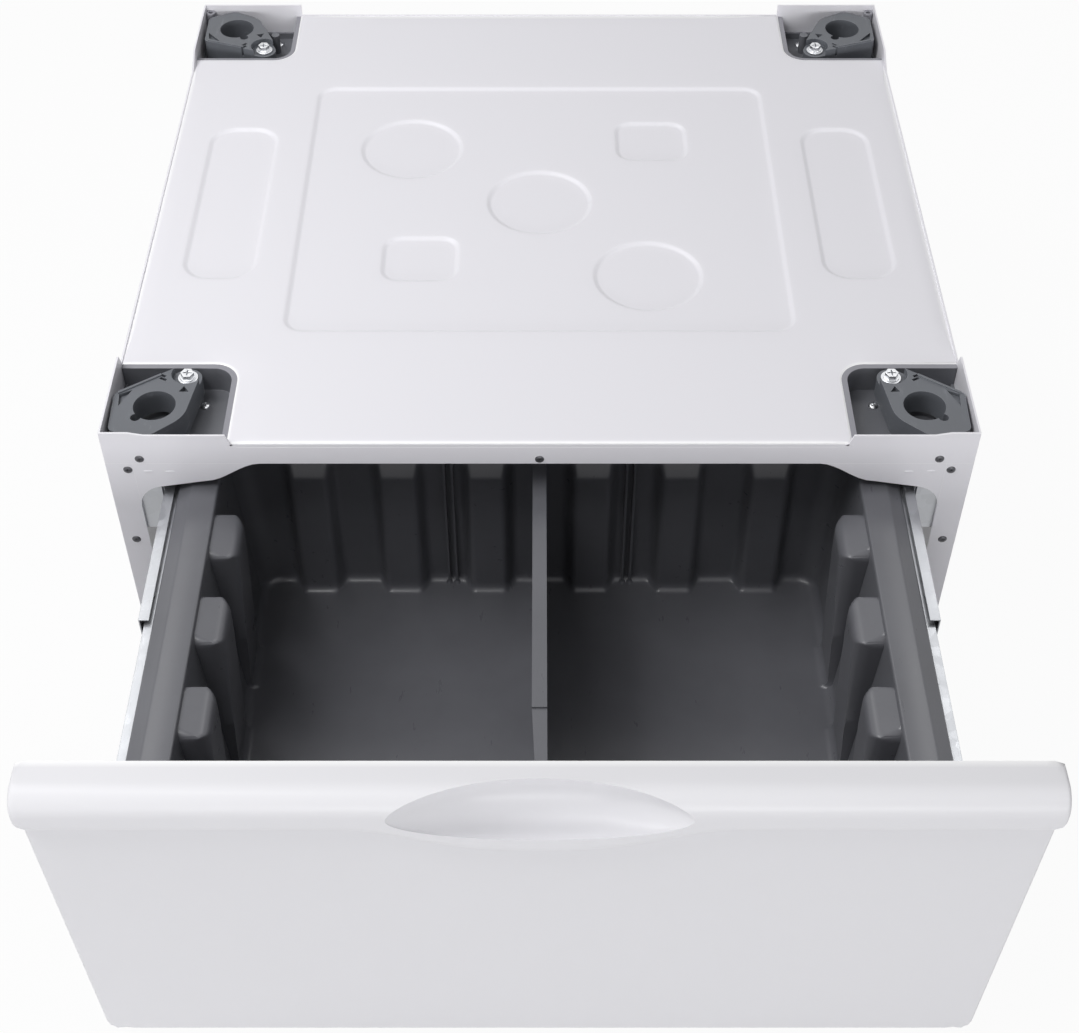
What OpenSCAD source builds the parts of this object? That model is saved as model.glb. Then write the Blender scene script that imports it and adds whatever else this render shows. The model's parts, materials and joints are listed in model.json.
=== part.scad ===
// Laundry pedestal with a full-width storage drawer, drawn with the drawer pulled open.
// Origin on the floor below the middle of the cabinet, +Z up, +Y to the back, +X to the right.
// "left" is -X as seen from the front. Everything sided is drawn on the right and mirrored.

/* [Cabinet] */
// Width over the side panels
body_w = 672; // [660:1:680]
// Depth from the front posts to the back panel
body_d = 622; // [600:1:660]
// Height of the top sheet above the floor
top_h = 370; // [366:1:400]
// Height of the cabinet's lower edge above the floor
base_h = 25; // [24:1:28]
// Thickness of the folded steel sheet
sheet = 1.5; // [1:0.1:1.5]
// Depth of the folded edges below the top sheet
fold_h = 12; // [8:1:18]
// Width of the folded edge along the bottom of the side panels
foot_fold = 22; // [16:1:30]

/* [Top pressing] */
// Distance of the pressed field from the cabinet's sides
field_side = 127; // [120:1:140]
// Length of the pressed field, front to back
field_l = 355; // [320:1:380]
// Corner radius of the pressed field
field_r = 15; // [8:1:30]
// Depth of each pressed step
press_d = 2; // [1:0.1:2.5]
// Distance of the side beads from the cabinet's sides
bead_side = 34; // [30:1:36]
// Width of each side bead
bead_w = 60; // [40:1:66]
// Length of each side bead
bead_l = 219; // [160:1:260]
// Corner radius of the side beads
bead_r = 22; // [10:1:28]
// Radius of the three round dishes in the field
dish_r = 45; // [30:1:46]
// Width of the two square dishes
square_w = 63; // [50:1:66]
// Length of the two square dishes
square_l = 58; // [40:1:60]

/* [Corner cups] */
// Width of the corner cut-outs in the top
cut_w = 96; // [96:1:98]
// Length of the front cut-outs
cut_front = 93; // [93:1:96]
// Length of the rear cut-outs
cut_rear = 83; // [83:1:88]
// Inner corner radius of the cut-outs
cut_r = 20; // [12:1:24]
// Width of the cup rim that shows inside the cut-out
rim_w = 4.5; // [3:0.5:6]
// Wall of the moulded cups
cup_wall = 2.5; // [2:0.1:2.6]
// Depth of the cup floor below the top
cup_d = 25; // [24:0.5:27]
// Width of the cup flange under the top sheet
cup_flange = 6; // [4:0.5:7]
// Drop of the outer cup walls below the top, which lets the locks swing over them
wall_drop = 19; // [18.5:0.5:21]
// Height of the white corner lips above the top
lip_h = 11; // [9:0.5:14]
// Height of the lowered middle of the front lips
lip_low = 8.5; // [8.5:0.5:9]
// How far the side lips run on past the rear cut-outs
lip_run = 23; // [10:1:26]

/* [Foot locks] */
// Distance from the clamp bolt to the middle of the ring
lock_l = 43; // [42:0.5:44]
// Outer radius of the ring
ring_r = 26; // [25:0.5:28]
// Radius of the bore that holds the foot of the machine
ring_bore = 16.5; // [14:0.5:18]
// Radius of the end round the clamp bolt
lock_end_r = 11; // [9:0.5:11.5]
// Thickness of the lock at the ring
lock_h = 22; // [16:1:22]
// Height of the ring above the top sheet
lock_up = 5; // [2:0.5:6]
// Step down from the ring to the bolt end
lock_step = 6; // [4:0.5:8]
// Wall of the hollow moulding
lock_wall = 3; // [2:0.1:4]
// Radius of the clamp bolts
clamp_r = 3; // [2.5:0.1:3.5]
// Direction of the front locks, from the bolt to the ring
lock_a_front = 61.7; // [60:0.1:63]
// Direction of the rear locks, from the bolt to the ring
lock_a_rear = 46; // [45:0.5:48]

/* [Front frame] */
// Height of the rail above the drawer opening
rail_h = 21.3; // [18:0.1:22]
// Width of the front posts
post_w = 21; // [18:0.5:21]
// Distance of the straight part of the opening's top edge from the posts
flat_side = 98.5; // [90:0.5:112]
// Radius of the opening's upper corners
corner_r = 22; // [16:1:26]
// Drop of the corner plates below the rail, up to the corner radius
gusset_drop = 25; // [20:0.5:25]
// Height of the base rails
base_rail_h = 30; // [20:1:40]
// Depth of the base rails
base_rail_d = 26; // [20:1:34]

/* [Feet] */
// Distance of the levelling feet from the cabinet's sides
foot_side = 36; // [34:1:38]
// Distance between the levelling feet, front to back
foot_span_y = 556; // [530:1:560]
// Radius of the foot pads
pad_r = 20; // [14:0.5:22]
// Height of the foot pads
pad_h = 12; // [8:0.5:14]
// Radius of the foot stems
stem_r = 5; // [4:0.5:6]
// Length of the stems above the pads
stem_l = 42; // [34:1:60]

/* [Slides] */
// Height of the slides' middle below the top sheet
slide_drop = 70; // [70:0.5:74]
// Length of the cabinet members
slide_l = 350; // [340:1:400]
// Thickness of a slide across its three members
slide_t = 12.7; // [12.7:0.1:13.5]
// Half height of the cabinet member
slide_h = 23; // [23:0.5:24]
// Thickness of the slide steel
slide_sheet = 1.2; // [1:0.1:1.2]
// Radius of the balls
ball_r = 1.6; // [1.4:0.05:1.65]
// Length of the ball cages
cage_l = 150; // [120:1:170]
// How far the drawer travels
travel = 289; // [280:1:289]

/* [Drawer front] */
// How far the drawer front stands out past each side of the cabinet
front_over = 7; // [2:0.5:12]
// Height of the front's lower edge above the floor
front_base = 25; // [22:1:40]
// Drop of the front's upper edge below the top sheet
front_drop = 4.5; // [2:0.5:8]
// Thickness of the front over the brow
brow_t = 33.8; // [30:0.2:38]
// Thickness of the front just below the brow
face_t = 22.3; // [18:0.1:24]
// Thickness of the front at its lower edge
foot_t = 14; // [12:0.5:18]
// Taper of each side edge from the brow to the bottom
front_taper = 5; // [2:0.5:8]
// Radius of the rolled top edge
roll_r = 18; // [12:0.5:20]
// Depth of the brow below the front's upper edge, at the sides
brow_h = 33.5; // [30:0.5:38]
// Extra depth of the brow in the middle, below the scoop
brow_dip = 24; // [16:0.5:28]
// Half width of that dip
dip_x = 130; // [120:1:160]
// Half width of the finger scoop
scoop_x = 106; // [80:1:112]
// Half height of the finger scoop
scoop_r = 23; // [20:0.5:24]
// Wall of the moulded front
front_wall = 3; // [2:0.1:3]

/* [Drawer bin] */
// Distance of the bin's inner rim edge from the side of the cabinet
rim_side = 84.5; // [84.5:0.5:87]
// Draft of each side wall of the bin from its rim to its floor
side_draft = 10.5; // [8:0.5:16]
// Length of the bin inside at its rim
bin_l = 344; // [340:1:348]
// Depth of the bin from its rim to its floor
bin_h = 168; // [160:1:190]
// Drop of the rim below the top sheet
rim_drop = 47; // [47:0.5:49]
// Wall of the moulded bin
bin_wall = 3; // [2:0.1:3.2]
// Width of the hollow rim along the sides
side_rim = 32.5; // [32:0.1:32.8]
// Depth of the skirt that the slides are fixed to
skirt_h = 50; // [46:1:60]
// Rounding of the rim's edges
rim_r = 6; // [3:0.5:8]
// Distance between the ribs of the back wall
rib_pitch = 73; // [68:0.5:74]
// Width of a rib's face
rib_face = 26; // [20:1:30]
// Width of a rib's foot
rib_foot = 44; // [36:1:46]
// Height of a rib above the back wall
rib_d = 12; // [6:0.5:14]
// Distance between the pillars of the side walls
pillar_pitch = 84.5; // [76:0.5:86]
// Width of a pillar
pillar_w = 47; // [40:1:54]
// Reach of a pillar from the wall at its shoulder
pillar_d = 22; // [14:0.5:24]
// Rounding of a pillar's shoulder
pillar_r = 9; // [8:0.5:10]
// Thickness of the divider panel
divider_t = 4; // [3:0.5:5]
// Width of the divider's top edge
divider_edge = 10.8; // [8:0.2:12]
// Length of the divider's lowered front end
divider_nose = 74; // [50:1:120]
// Drop of that front end below the rest of the top edge
nose_drop = 1.5; // [1:0.25:3]
// Width of the front end where it meets the drawer front
nose_w = 7.5; // [6:0.5:8.5]

/* [Hidden] */
$fn = 48;

// Colours
white = "#e9e8ee";
front_white = "#f1f0f5";
dark_grey = "#3b3d45";
lock_grey = "#565c66";
zinc = "#b9bcc2";
rubber = "#26272b";

// Fits
fit = 0.2;        // between pieces of one body
run = 0.06;       // running fit round a pin
gap = 0.3;        // between pieces that move on each other

hw = body_w / 2;
hd = body_d / 2;
inner_x = hw - sheet;             // inside of the side panels
inner_y = hd - sheet;             // inside of the front rail and the back panel
plate_y = inner_y - sheet;        // back of the corner plates
post_x = hw - post_w;             // inner edge of the posts
flat_x = post_x - flat_side;      // end of the straight part of the opening's top edge
front_w = body_w + 2 * front_over;
rim_x = hw - rim_side;            // half width of the bin inside at its rim
bin_x = rim_x - side_draft;       // and at its floor

// ---------------------------------------------------------------- helpers

module right() { children(); }
module left() { mirror([1, 0, 0]) children(); }
module both() { right() children(); left() children(); }

// Extrudes a [y, z] outline along X, centred
module along_x(l) { rotate([90, 0, 90]) linear_extrude(l, center = true) children(); }
// Extrudes an [x, z] outline from y0 to y1
module along_y(y0, y1) { translate([0, y1, 0]) rotate([90, 0, 0]) linear_extrude(y1 - y0) children(); }
// Box between two corners
module block(a, b) { translate(a) cube(b - a); }

// Rectangle with four round corners, centred
module round_rect(w, l, r) {
    square([w - 2 * r, l], center = true);
    square([w, l - 2 * r], center = true);
    for (x = [-1, 1], y = [-1, 1])
        translate([x * (w / 2 - r), y * (l / 2 - r)]) circle(r);
}

// Places a corner's pieces: u outwards from the cut-out's inner edge, v outwards, z from the top
module front_corner() { translate([hw - cut_w, cut_front - hd, top_h]) mirror([0, 1, 0]) children(); }
module rear_corner() { translate([hw - cut_w, hd - cut_rear, top_h]) children(); }

// ---------------------------------------------------------------- top panel

side_fold = 8;    // the folds stop this far before a cut-out

field_w = body_w - 2 * field_side;
bead_x = hw - bead_side - bead_w;                   // inner edge of the side beads

// Sheet with the corner cut-outs
module top_outline() {
    difference() {
        square([2 * inner_x, 2 * inner_y], center = true);
        for (x = [-1, 1], y = [[-1, cut_front], [1, cut_rear]]) scale([x, y[0]])
            translate([hw - cut_w, hd - y[1]]) {
                translate([cut_r, 0]) square([cut_w, y[1]]);
                translate([0, cut_r]) square([cut_w, y[1]]);
                translate([cut_r, cut_r]) circle(cut_r);
            }
    }
}

// Outline of the first pressed step, grown by g
module field(g = 0) {
    round_rect(field_w + 2 * g, field_l + 2 * g, field_r + g);
    for (x = [-1, 1]) translate([x * (bead_x + bead_w / 2), 0])
        round_rect(bead_w + 2 * g, bead_l + 2 * g, bead_r + g);
}

// Dishes pressed one step deeper, in a quincunx
dish_y = 81;
dish_x = 117;
low_dish = [92, -104];
square_in = [103, 93];
square_low = [-102, -81];
module dishes(g = 0) {
    translate([-dish_x, dish_y]) circle(dish_r + g);
    circle(dish_r + g);
    translate(low_dish) circle(dish_r + g);
    for (p = [square_in, square_low]) translate(p) round_rect(square_w + 2 * g, square_l + 2 * g, 14 + g);
}

module top_panel() {
    color(white) translate([0, 0, top_h]) {
        difference() {
            union() {
                translate([0, 0, -sheet]) linear_extrude(sheet) top_outline();
                translate([0, 0, -sheet - press_d]) linear_extrude(press_d + sheet / 2) field(sheet);
                translate([0, 0, -sheet - 2 * press_d]) linear_extrude(press_d + sheet / 2) dishes(sheet);
            }
            translate([0, 0, -press_d]) linear_extrude(2 * press_d) field();
            translate([0, 0, -2 * press_d]) linear_extrude(2 * press_d) dishes();
        }
        side_y0 = cut_front - hd + side_fold;
        side_y1 = hd - cut_rear - side_fold;
        for (x = [-inner_x, inner_x - sheet])
            block([x, side_y0, -fold_h], [x + sheet, side_y1, -sheet / 2]);
        end_x = flat_x - fit;
        block([-end_x, -inner_y, -fold_h], [end_x, sheet - inner_y, -sheet / 2]);
        difference() {
            block([-end_x, inner_y - sheet, -fold_h], [end_x, inner_y, -sheet / 2]);
            for (x = back_screw_x) translate([x, inner_y - sheet - 1, -fold_h / 2])
                rotate([-90, 0, 0]) cylinder(r = screw_r, h = 3 * sheet);
        }
    }
}

// ---------------------------------------------------------------- sides, back and rails

screw_r = 2.2;        // clearance hole of a frame screw
rail_screws = [[0, -16.5], [hw - 27.4, -16.3]];
post_screws = [[hw - 16.6, -28], [hw - 10.3, -107]];

// Side panel: folded to a post in front and inwards along the bottom, with two corner lips
module side_panel() {
    lip_slope = 5;
    color(white) {
        block([inner_x, -inner_y, base_h], [hw, inner_y, top_h]);
        difference() {
            block([post_x, -hd, base_h], [hw, -inner_y, top_h - rail_h]);
            for (s = post_screws) translate([s[0], -hd - 1, top_h + s[1]])
                rotate([-90, 0, 0]) cylinder(r = screw_r, h = 3 * sheet);
        }
        block([inner_x - foot_fold, -inner_y, base_h], [inner_x, inner_y, base_h + sheet]);
        block([inner_x - foot_fold, inner_y - sheet, base_h + sheet + base_rail_h + fit],
            [inner_x, inner_y, top_h - 50]);
        translate([(hw + inner_x) / 2, 0, top_h]) along_x(sheet) {
            polygon([
                [-inner_y, -1], [-inner_y, lip_h],
                [cut_front - hd - lip_slope, lip_h], [cut_front - hd, 0], [cut_front - hd, -1]]);
            polygon([
                [inner_y, -1], [inner_y, lip_h], [hd - cut_rear, lip_h],
                [hd - cut_rear - lip_run, 0], [hd - cut_rear - lip_run, -1]]);
        }
    }
}

// Front lip outline: full height at the corner, lowered in the middle of the cut-out
module front_lip() {
    polygon([
        [hw - cut_w - 3, -1], [hw - cut_w - 3, 1], [hw - cut_w, lip_low], [hw - 34, lip_low],
        [hw - 22, lip_h], [hw, lip_h], [hw, -1]]);
}

module front_rail() {
    rail_x = flat_x - fit;
    color(white) translate([0, 0, top_h]) {
        difference() {
            union() {
                block([-hw, -hd, -rail_h], [hw, -inner_y, 0]);
                along_y(-hd, -inner_y) both() front_lip();
            }
            for (s = rail_screws) both() translate([s[0], -hd - 1, s[1]])
                rotate([-90, 0, 0]) cylinder(r = screw_r, h = 3 * sheet);
        }
        block([-rail_x, -inner_y, -rail_h], [rail_x, -inner_y + 14, -rail_h + sheet]);
    }
}

// Upper corner of the drawer opening: the edge falls in a soft wave, then turns down in an arc
wave_w = 44;
function wave(s) = s * s * (3 - 2 * s);
arc_z = -rail_h - gusset_drop;                      // height at which the arc begins
arc_slope = 10.5;                                   // fall of the edge before the arc, degrees
wave_z = -(post_x - corner_r - flat_x - wave_w) * tan(arc_slope);
wave_drop = gusset_drop + wave_z;
module opening_corner(top) {
    polygon(concat(
        [[flat_x, -rail_h]],
        [for (i = [1 : 8]) [flat_x + wave_w * i / 8, -rail_h - wave_drop * wave(i / 8)]],
        [for (i = [0 : 8]) let (a = 90 - arc_slope - (90 - arc_slope) * i / 8)
            [post_x - corner_r + corner_r * cos(a), arc_z - corner_r + corner_r * sin(a)]],
        [[post_x, -rail_h - 90], [post_x + post_w - sheet - 1, -rail_h - 90],
         [post_x + post_w - sheet - 1, top], [flat_x, top]]));
}

// Corner plate: flush with the rail where it shows, and lapped behind the rail and the post
module corner_plate() {
    color(white) translate([0, 0, top_h]) difference() {
        union() {
            along_y(-hd, -inner_y) intersection() {
                opening_corner(-rail_h);
                square([2 * post_x, 400], center = true);
            }
            along_y(-inner_y, -plate_y) opening_corner(-5);
        }
        for (s = [rail_screws[1], post_screws[0], post_screws[1]])
            translate([s[0], -hd - 1, s[1]]) rotate([-90, 0, 0]) cylinder(r = screw_r, h = 4 * sheet);
    }
}

back_screw_x = [for (i = [-1 : 1]) i * (hw - 136)];
module back_panel() {
    base = base_h + sheet;
    color(white) difference() {
        union() {
            block([-hw, inner_y, base_h], [hw, hd, top_h]);
            along_y(inner_y, hd) both() translate([hw - cut_w - 1, top_h - 1])
                square([cut_w + 1, lip_h + 1]);
            translate([0, 0, (base + top_h) / 2]) along_y(inner_y - press_d, inner_y + sheet / 2)
                round_rect(body_w - 140, top_h - base_h - 130, 30);
        }
        translate([0, 0, (base + top_h) / 2]) along_y(inner_y - press_d + sheet, hd + 1)
            round_rect(body_w - 140 - 2 * sheet, top_h - base_h - 130 - 2 * sheet, 30 - sheet);
        for (x = back_screw_x, z = [base_h + base_rail_h / 2, top_h - fold_h / 2])
            translate([x, inner_y - 1, z]) rotate([-90, 0, 0]) cylinder(r = screw_r, h = 3 * sheet);
    }
}

// Base rail: a channel that opens to the inside, between the side panels
module base_rail(screws) {
    z0 = base_h + sheet;
    rail_end = inner_x - fit;
    color(white) difference() {
        translate([0, 0, z0]) along_x(2 * rail_end) {
            translate([-inner_y, 0]) square([sheet, base_rail_h]);
            translate([-inner_y, 0]) square([base_rail_d, sheet]);
            translate([-inner_y, base_rail_h - sheet]) square([base_rail_d, sheet]);
        }
        for (x = screws) translate([x, -inner_y - 1, base_h + base_rail_h / 2])
            rotate([-90, 0, 0]) cylinder(r = screw_r, h = 3 * sheet);
        both() foot_at(-1) cylinder(r = stem_r + 1, h = 200);
    }
}

// ---------------------------------------------------------------- levelling feet

bracket_t = 3;
bracket_z = base_h + 2 * sheet;
module foot_at(y) { translate([hw - foot_side, y * foot_span_y / 2, 0]) children(); }

// Flat corner plate that rests in the base rail and takes the foot's stem
module foot_bracket(y) {
    plate_l = 64;
    color(zinc) difference() {
        scale([1, y, 1]) union() {
            block([inner_x - fit - plate_l, plate_y - plate_l, bracket_z],
                [inner_x - fit, plate_y, bracket_z + bracket_t]);
            block([inner_x - fit - sheet, plate_y - plate_l, bracket_z],
                [inner_x - fit, plate_y, bracket_z + base_rail_h - 3 * sheet - fit]);
        }
        foot_at(y) cylinder(r = stem_r + run, h = 200);
    }
}

module levelling_foot(y) {
    hex_r = 10;
    color(rubber) foot_at(y) {
        rotate_extrude() polygon([
            [0, 0], [pad_r, 0], [pad_r, pad_h - 3], [pad_r - 3, pad_h], [0, pad_h]]);
        translate([0, 0, pad_h]) cylinder(r = hex_r, h = 6, $fn = 6);
        translate([0, 0, pad_h]) cylinder(r = stem_r, h = stem_l);
    }
}

// Lock nuts on the brackets
module foot_nuts() {
    color(zinc) both() for (y = [-1, 1]) foot_at(y) translate([0, 0, bracket_z + bracket_t])
        difference() {
            cylinder(r = 9.5, h = 6, $fn = 6);
            translate([0, 0, -1]) cylinder(r = stem_r + run, h = 8);
        }
}

// ---------------------------------------------------------------- foot cups and trays

cup_u = cut_w - sheet - fit;                      // outer face beside the side panel
cup_v_front = cut_front - 2 * sheet - fit;        // outer face behind the corner plate
cup_v_rear = cut_rear - sheet - fit;              // outer face before the back panel
bolt_front = [39, 17.5];
bolt_rear = [30.3, 17];
cup_screw_front = [27.5, 23.7];
cup_screw_rear = [22, 66.9];
cup_base = 3;                                     // thickness of the cup floor
peg = [24, 54.5];                                 // small peg in the rear cups
peg_r = 4;
post_top = lock_up - lock_h - gap;                // top of the post that the lock rests on
eyelet_r = 4.5;                                   // tube in the outer corner of the rear cups
eyelet_up = 6;

// Moulded cup: rim and flange under the sheet, full inner walls, low outer walls below the locks
module foot_cup(cup_v, bolt, screw, post) {
    wall_in = rim_w - cup_wall;
    color(dark_grey) difference() {
        union() {
            block([-cup_flange, -cup_flange, -sheet - cup_wall], [cup_u, cup_v, -sheet]);
            block([wall_in, wall_in, -cup_d - cup_base], [cup_u, cup_v, -sheet - cup_wall / 2]);
        }
        difference() {
            translate([0, 0, -cup_d]) linear_extrude(cup_d) cup_inside(cup_v);
            cup_posts(bolt, post);
        }
        block([cup_u - 2 * cup_wall, rim_w, -wall_drop], [cup_u + 1, cup_v - cup_wall, 0]);
        block([rim_w, cup_v - cup_wall, -wall_drop], [cup_u + 1, cup_v + 1, 0]);
        for (p = [bolt, screw]) translate([p[0], p[1], -cup_d - cup_base - 1])
            cylinder(r = clamp_r + fit, h = cup_d);
    }
    if (post) color(dark_grey) translate([cup_u - eyelet_r, cup_v - eyelet_r, -cup_d - 1]) difference() {
        cylinder(r = eyelet_r, h = cup_d + eyelet_up + 1);
        translate([0, 0, cup_d]) cylinder(r = eyelet_r / 2, h = eyelet_up + 2);
    }
}

// Outline of the space inside a cup, with its inner corner rounded
module cup_inside(cup_v) {
    r = cut_r - rim_w;
    end = [cup_u - cup_wall, cup_v - cup_wall];
    translate([rim_w + r, rim_w]) square([end[0] - rim_w - r, end[1] - rim_w]);
    translate([rim_w, rim_w + r]) square([end[0] - rim_w, end[1] - rim_w - r]);
    translate([rim_w + r, rim_w + r]) circle(r);
}

// Post under the lock's bolt end, and the peg of the rear cups
module cup_posts(bolt, post) {
    translate([bolt[0], bolt[1], -cup_d - 1]) cylinder(r = 9, h = post_top + cup_d + 1);
    if (post) translate([peg[0], peg[1], -cup_d - 1]) cylinder(r = peg_r, h = cup_d - 5);
}

// Steel tray that carries the cup and the machine's foot, folded down along the side panel
module cup_tray(cup_v, bolt, screw) {
    color(white) difference() {
        union() {
            block([-cup_flange, -cup_flange, -cup_d - cup_base - sheet],
                [cut_w - sheet, cup_v, -cup_d - cup_base]);
            block([cut_w - 2 * sheet, -cup_flange, -cup_d - cup_base - 12],
                [cut_w - sheet, cup_v, -cup_d - cup_base]);
            block([-cup_flange, -cup_flange, -cup_d - cup_base - 8],
                [cut_w - sheet, sheet - cup_flange, -cup_d - cup_base]);
        }
        for (p = [bolt, screw]) translate([p[0], p[1], -cup_d - cup_base - sheet - 1])
            cylinder(r = clamp_r + fit, h = 2 * sheet + 1);
    }
}

// ---------------------------------------------------------------- foot locks

// Corners of a lock beyond the ring: [along the lock, across it, radius], from the shoulder on
shoulder = [lock_l + 3.6, -30.5, 5];
tips_front = [shoulder, [lock_l + 31.8, -11.4, 7], [lock_l + 22, 11, 8]];
tips_rear = [shoulder, [lock_l + 24, -4.5, 10], [lock_l + 18.5, 9.8, 11]];

// Round corners of a lock drawn in by g, counter-clockwise from the bolt
function lock_corners(tips, g) = [for (c = concat([[0, 0, lock_end_r]], tips, [[lock_l, 0, ring_r]]))
    [c[0], c[1], c[2] - g]];

// Outward direction of the tangent from corner i to the next
function belt_a(c, i) = let (p = c[i], q = c[(i + 1) % len(c)], d = [q[0] - p[0], q[1] - p[1]])
    atan2(d[1], d[0]) - acos((p[2] - q[2]) / norm(d));

// Outline of a lock drawn in by g: arcs round the corners, joined by their tangents
module lock_outline(tips, g = 0) {
    c = lock_corners(tips, g);
    last = len(c) - 1;
    polygon([for (i = [0 : last]) let (
        a = belt_a(c, (i + last) % len(c)), t = belt_a(c, i) - a,
        turn = t - 360 * floor(t / 360), n = ceil(turn / 9))
        for (k = [0 : n]) let (b = a + turn * k / n)
            [c[i][0] + c[i][2] * cos(b), c[i][1] + c[i][2] * sin(b)]]);
}

// Straight rib along the edge between the bolt end and the shoulder
module edge_rib(tips) {
    a = belt_a(lock_corners(tips, 0), 0);
    n = [cos(a), sin(a)];
    p = lock_end_r * n;
    q = [shoulder[0], shoulder[1]] + shoulder[2] * n;
    r = p + (q - p) * 0.32;
    polygon([r - 0.6 * n, r - 2.6 * n, q - 2.6 * n, q - 0.6 * n]);
}

// Foot lock: hollow below the ring, a keyhole beside the bore, pockets and a straight rib on top
module foot_lock(tips, notch_a) {
    bottom = lock_up - lock_h;
    floor_t = 5;
    color(lock_grey) difference() {
        union() {
            translate([0, 0, bottom]) linear_extrude(lock_h) lock_outline(tips);
            translate([0, 0, lock_up - 1]) linear_extrude(2.2) edge_rib(tips);
        }
        translate([0, 0, lock_up - lock_step]) cylinder(r = lock_end_r + 1.5, h = lock_step + 3);
        translate([0, 0, bottom - 1]) linear_extrude(lock_h - floor_t) difference() {
            lock_outline(tips, lock_wall);
            circle(lock_end_r + 4);
            translate([lock_l, 0]) circle(ring_bore + lock_wall);
            translate([lock_l, 0]) rotate(notch_a) translate([ring_bore + 2, 0]) circle(4 + lock_wall);
        }
        translate([0, 0, bottom - 1]) cylinder(r = clamp_r + run, h = lock_h + 4);
        translate([lock_l, 0, bottom - 1]) {
            cylinder(r = ring_bore, h = lock_h + 4);
            rotate(notch_a) translate([ring_bore + 2, 0, 0]) cylinder(r = 4, h = lock_h + 4);
        }
        translate([14.7, -12.5, lock_up - 4]) cube([2.5, 6, 10], center = true);
        translate([11.5, -15.5, lock_up - 4]) cube([2.5, 6, 10], center = true);
        translate([17, 10, lock_up - 4]) linear_extrude(8)
            polygon([[-3.5, -3], [4, -3], [0.5, 4]]);
        translate([shoulder[0], shoulder[1], lock_up - 3]) linear_extrude(5)
            polygon([[-10, 4.5], [-1, -1.5], [10, 6]]);
    }
}

// Clamp bolt in a corner: washer, flanged hexagon head and shank down to the nut
module clamp_bolt(bolt) {
    seat = lock_up - lock_step + gap;
    color(zinc) translate([bolt[0], bolt[1], seat]) {
        cylinder(r = 8, h = 1.2);
        translate([0, 0, 1.2]) cylinder(r = 6.4, h = 1);
        difference() {
            translate([0, 0, 2.2]) cylinder(r = 5.4, h = 4, $fn = 6);
            translate([0, 0, 4.6]) cube([7, 1.2, 3.4], center = true);
            translate([0, 0, 4.6]) cube([1.2, 7, 3.4], center = true);
        }
        translate([0, 0, -seat - cup_d - cup_base - 8])
            cylinder(r = clamp_r, h = seat + cup_d + cup_base + 9);
    }
}

module clamp_nut(bolt) {
    color(zinc) translate([bolt[0], bolt[1], -cup_d - cup_base - sheet - 5]) difference() {
        cylinder(r = 6, h = 5, $fn = 6);
        translate([0, 0, -1]) cylinder(r = clamp_r + run, h = 7);
    }
}

module cup_screw(screw) {
    color(zinc) translate([screw[0], screw[1], -cup_d]) {
        rotate_extrude() polygon([[0, 0], [4, 0], [4, 0.8], [2.4, 2.2], [0, 2.2]]);
        translate([0, 0, -8]) cylinder(r = 2.4, h = 8.5);
    }
}

// ---------------------------------------------------------------- screws of the frame

// Pan-head screw in the front, pointing to the back
module front_screw() {
    color(rubber) {
        rotate([90, 0, 0]) rotate_extrude() polygon([[0, 0], [3.6, 0], [3.6, 0.5], [2.2, 1.2], [0, 1.2]]);
        rotate([-90, 0, 0]) cylinder(r = screw_r - fit, h = 2 * sheet);
    }
}

module frame_screws() {
    translate([0, -hd, top_h]) {
        translate([rail_screws[0][0], 0, rail_screws[0][1]]) front_screw();
        both() for (s = [rail_screws[1], post_screws[0], post_screws[1]])
            translate([s[0], 0, s[1]]) front_screw();
    }
}

module back_screws() {
    for (x = back_screw_x, z = [base_h + base_rail_h / 2, top_h - fold_h / 2])
        translate([x, hd, z]) rotate(180) front_screw();
}

// ---------------------------------------------------------------- slides

slide_z = top_h - slide_drop;
slide_x = rim_x + side_rim + gap;            // inner face of the slides, beside the bin's skirt
slide_back = slide_x + slide_t;              // outer face of the cabinet member
slide_y0 = -plate_y + 3;                     // front end of the cabinet members
row = 2 * ball_r + fit;                      // clear height of a ball row
mid_h = slide_h - slide_sheet - row;         // half height of the middle member
low_h = mid_h - slide_sheet - row;           // half height of the drawer member
outer_ball_t = 7.5;                          // distance of the ball rows from the inner face
inner_ball_t = 4.6;
mid_travel = travel / 2;
mid_y0 = -hd - mid_travel + 12;              // front end of the middle member, drawer open
mid_l = slide_l - 20;
bin_front = -hd - travel - 1.8;              // outer face of the bin's front wall
low_l = 350;

// A channel from thickness t0 to t1 with half height h, opening towards the drawer
module channel(t0, t1, h) {
    translate([slide_x + t1 - slide_sheet, -h]) square([slide_sheet, 2 * h]);
    for (z = [-h, h - slide_sheet]) translate([slide_x + t0, z]) square([t1 - t0, slide_sheet]);
}

// Support channel between the slide and the side panel, closed by a plate behind the post
module slide_bracket() {
    h = slide_h + 3;
    color(zinc) {
        translate([0, 0, slide_z]) {
            along_y(-plate_y, slide_y0 + slide_l + 15) {
                translate([slide_back, -h]) square([sheet, 2 * h]);
                for (z = [-h, h - sheet]) translate([slide_back, z]) square([inner_x - slide_back, sheet]);
            }
            along_y(-plate_y, -plate_y + sheet) translate([slide_back, -h])
                square([inner_x - slide_back, 2 * h]);
        }
    }
}

module slide_cabinet() {
    color(zinc) translate([0, 0, slide_z]) along_y(slide_y0, slide_y0 + slide_l)
        channel(3, slide_t, slide_h);
}

module slide_middle() {
    color(zinc) translate([0, 0, slide_z]) along_y(mid_y0, mid_y0 + mid_l)
        channel(2.4, slide_t - slide_sheet - 1.1, mid_h);
}

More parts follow.
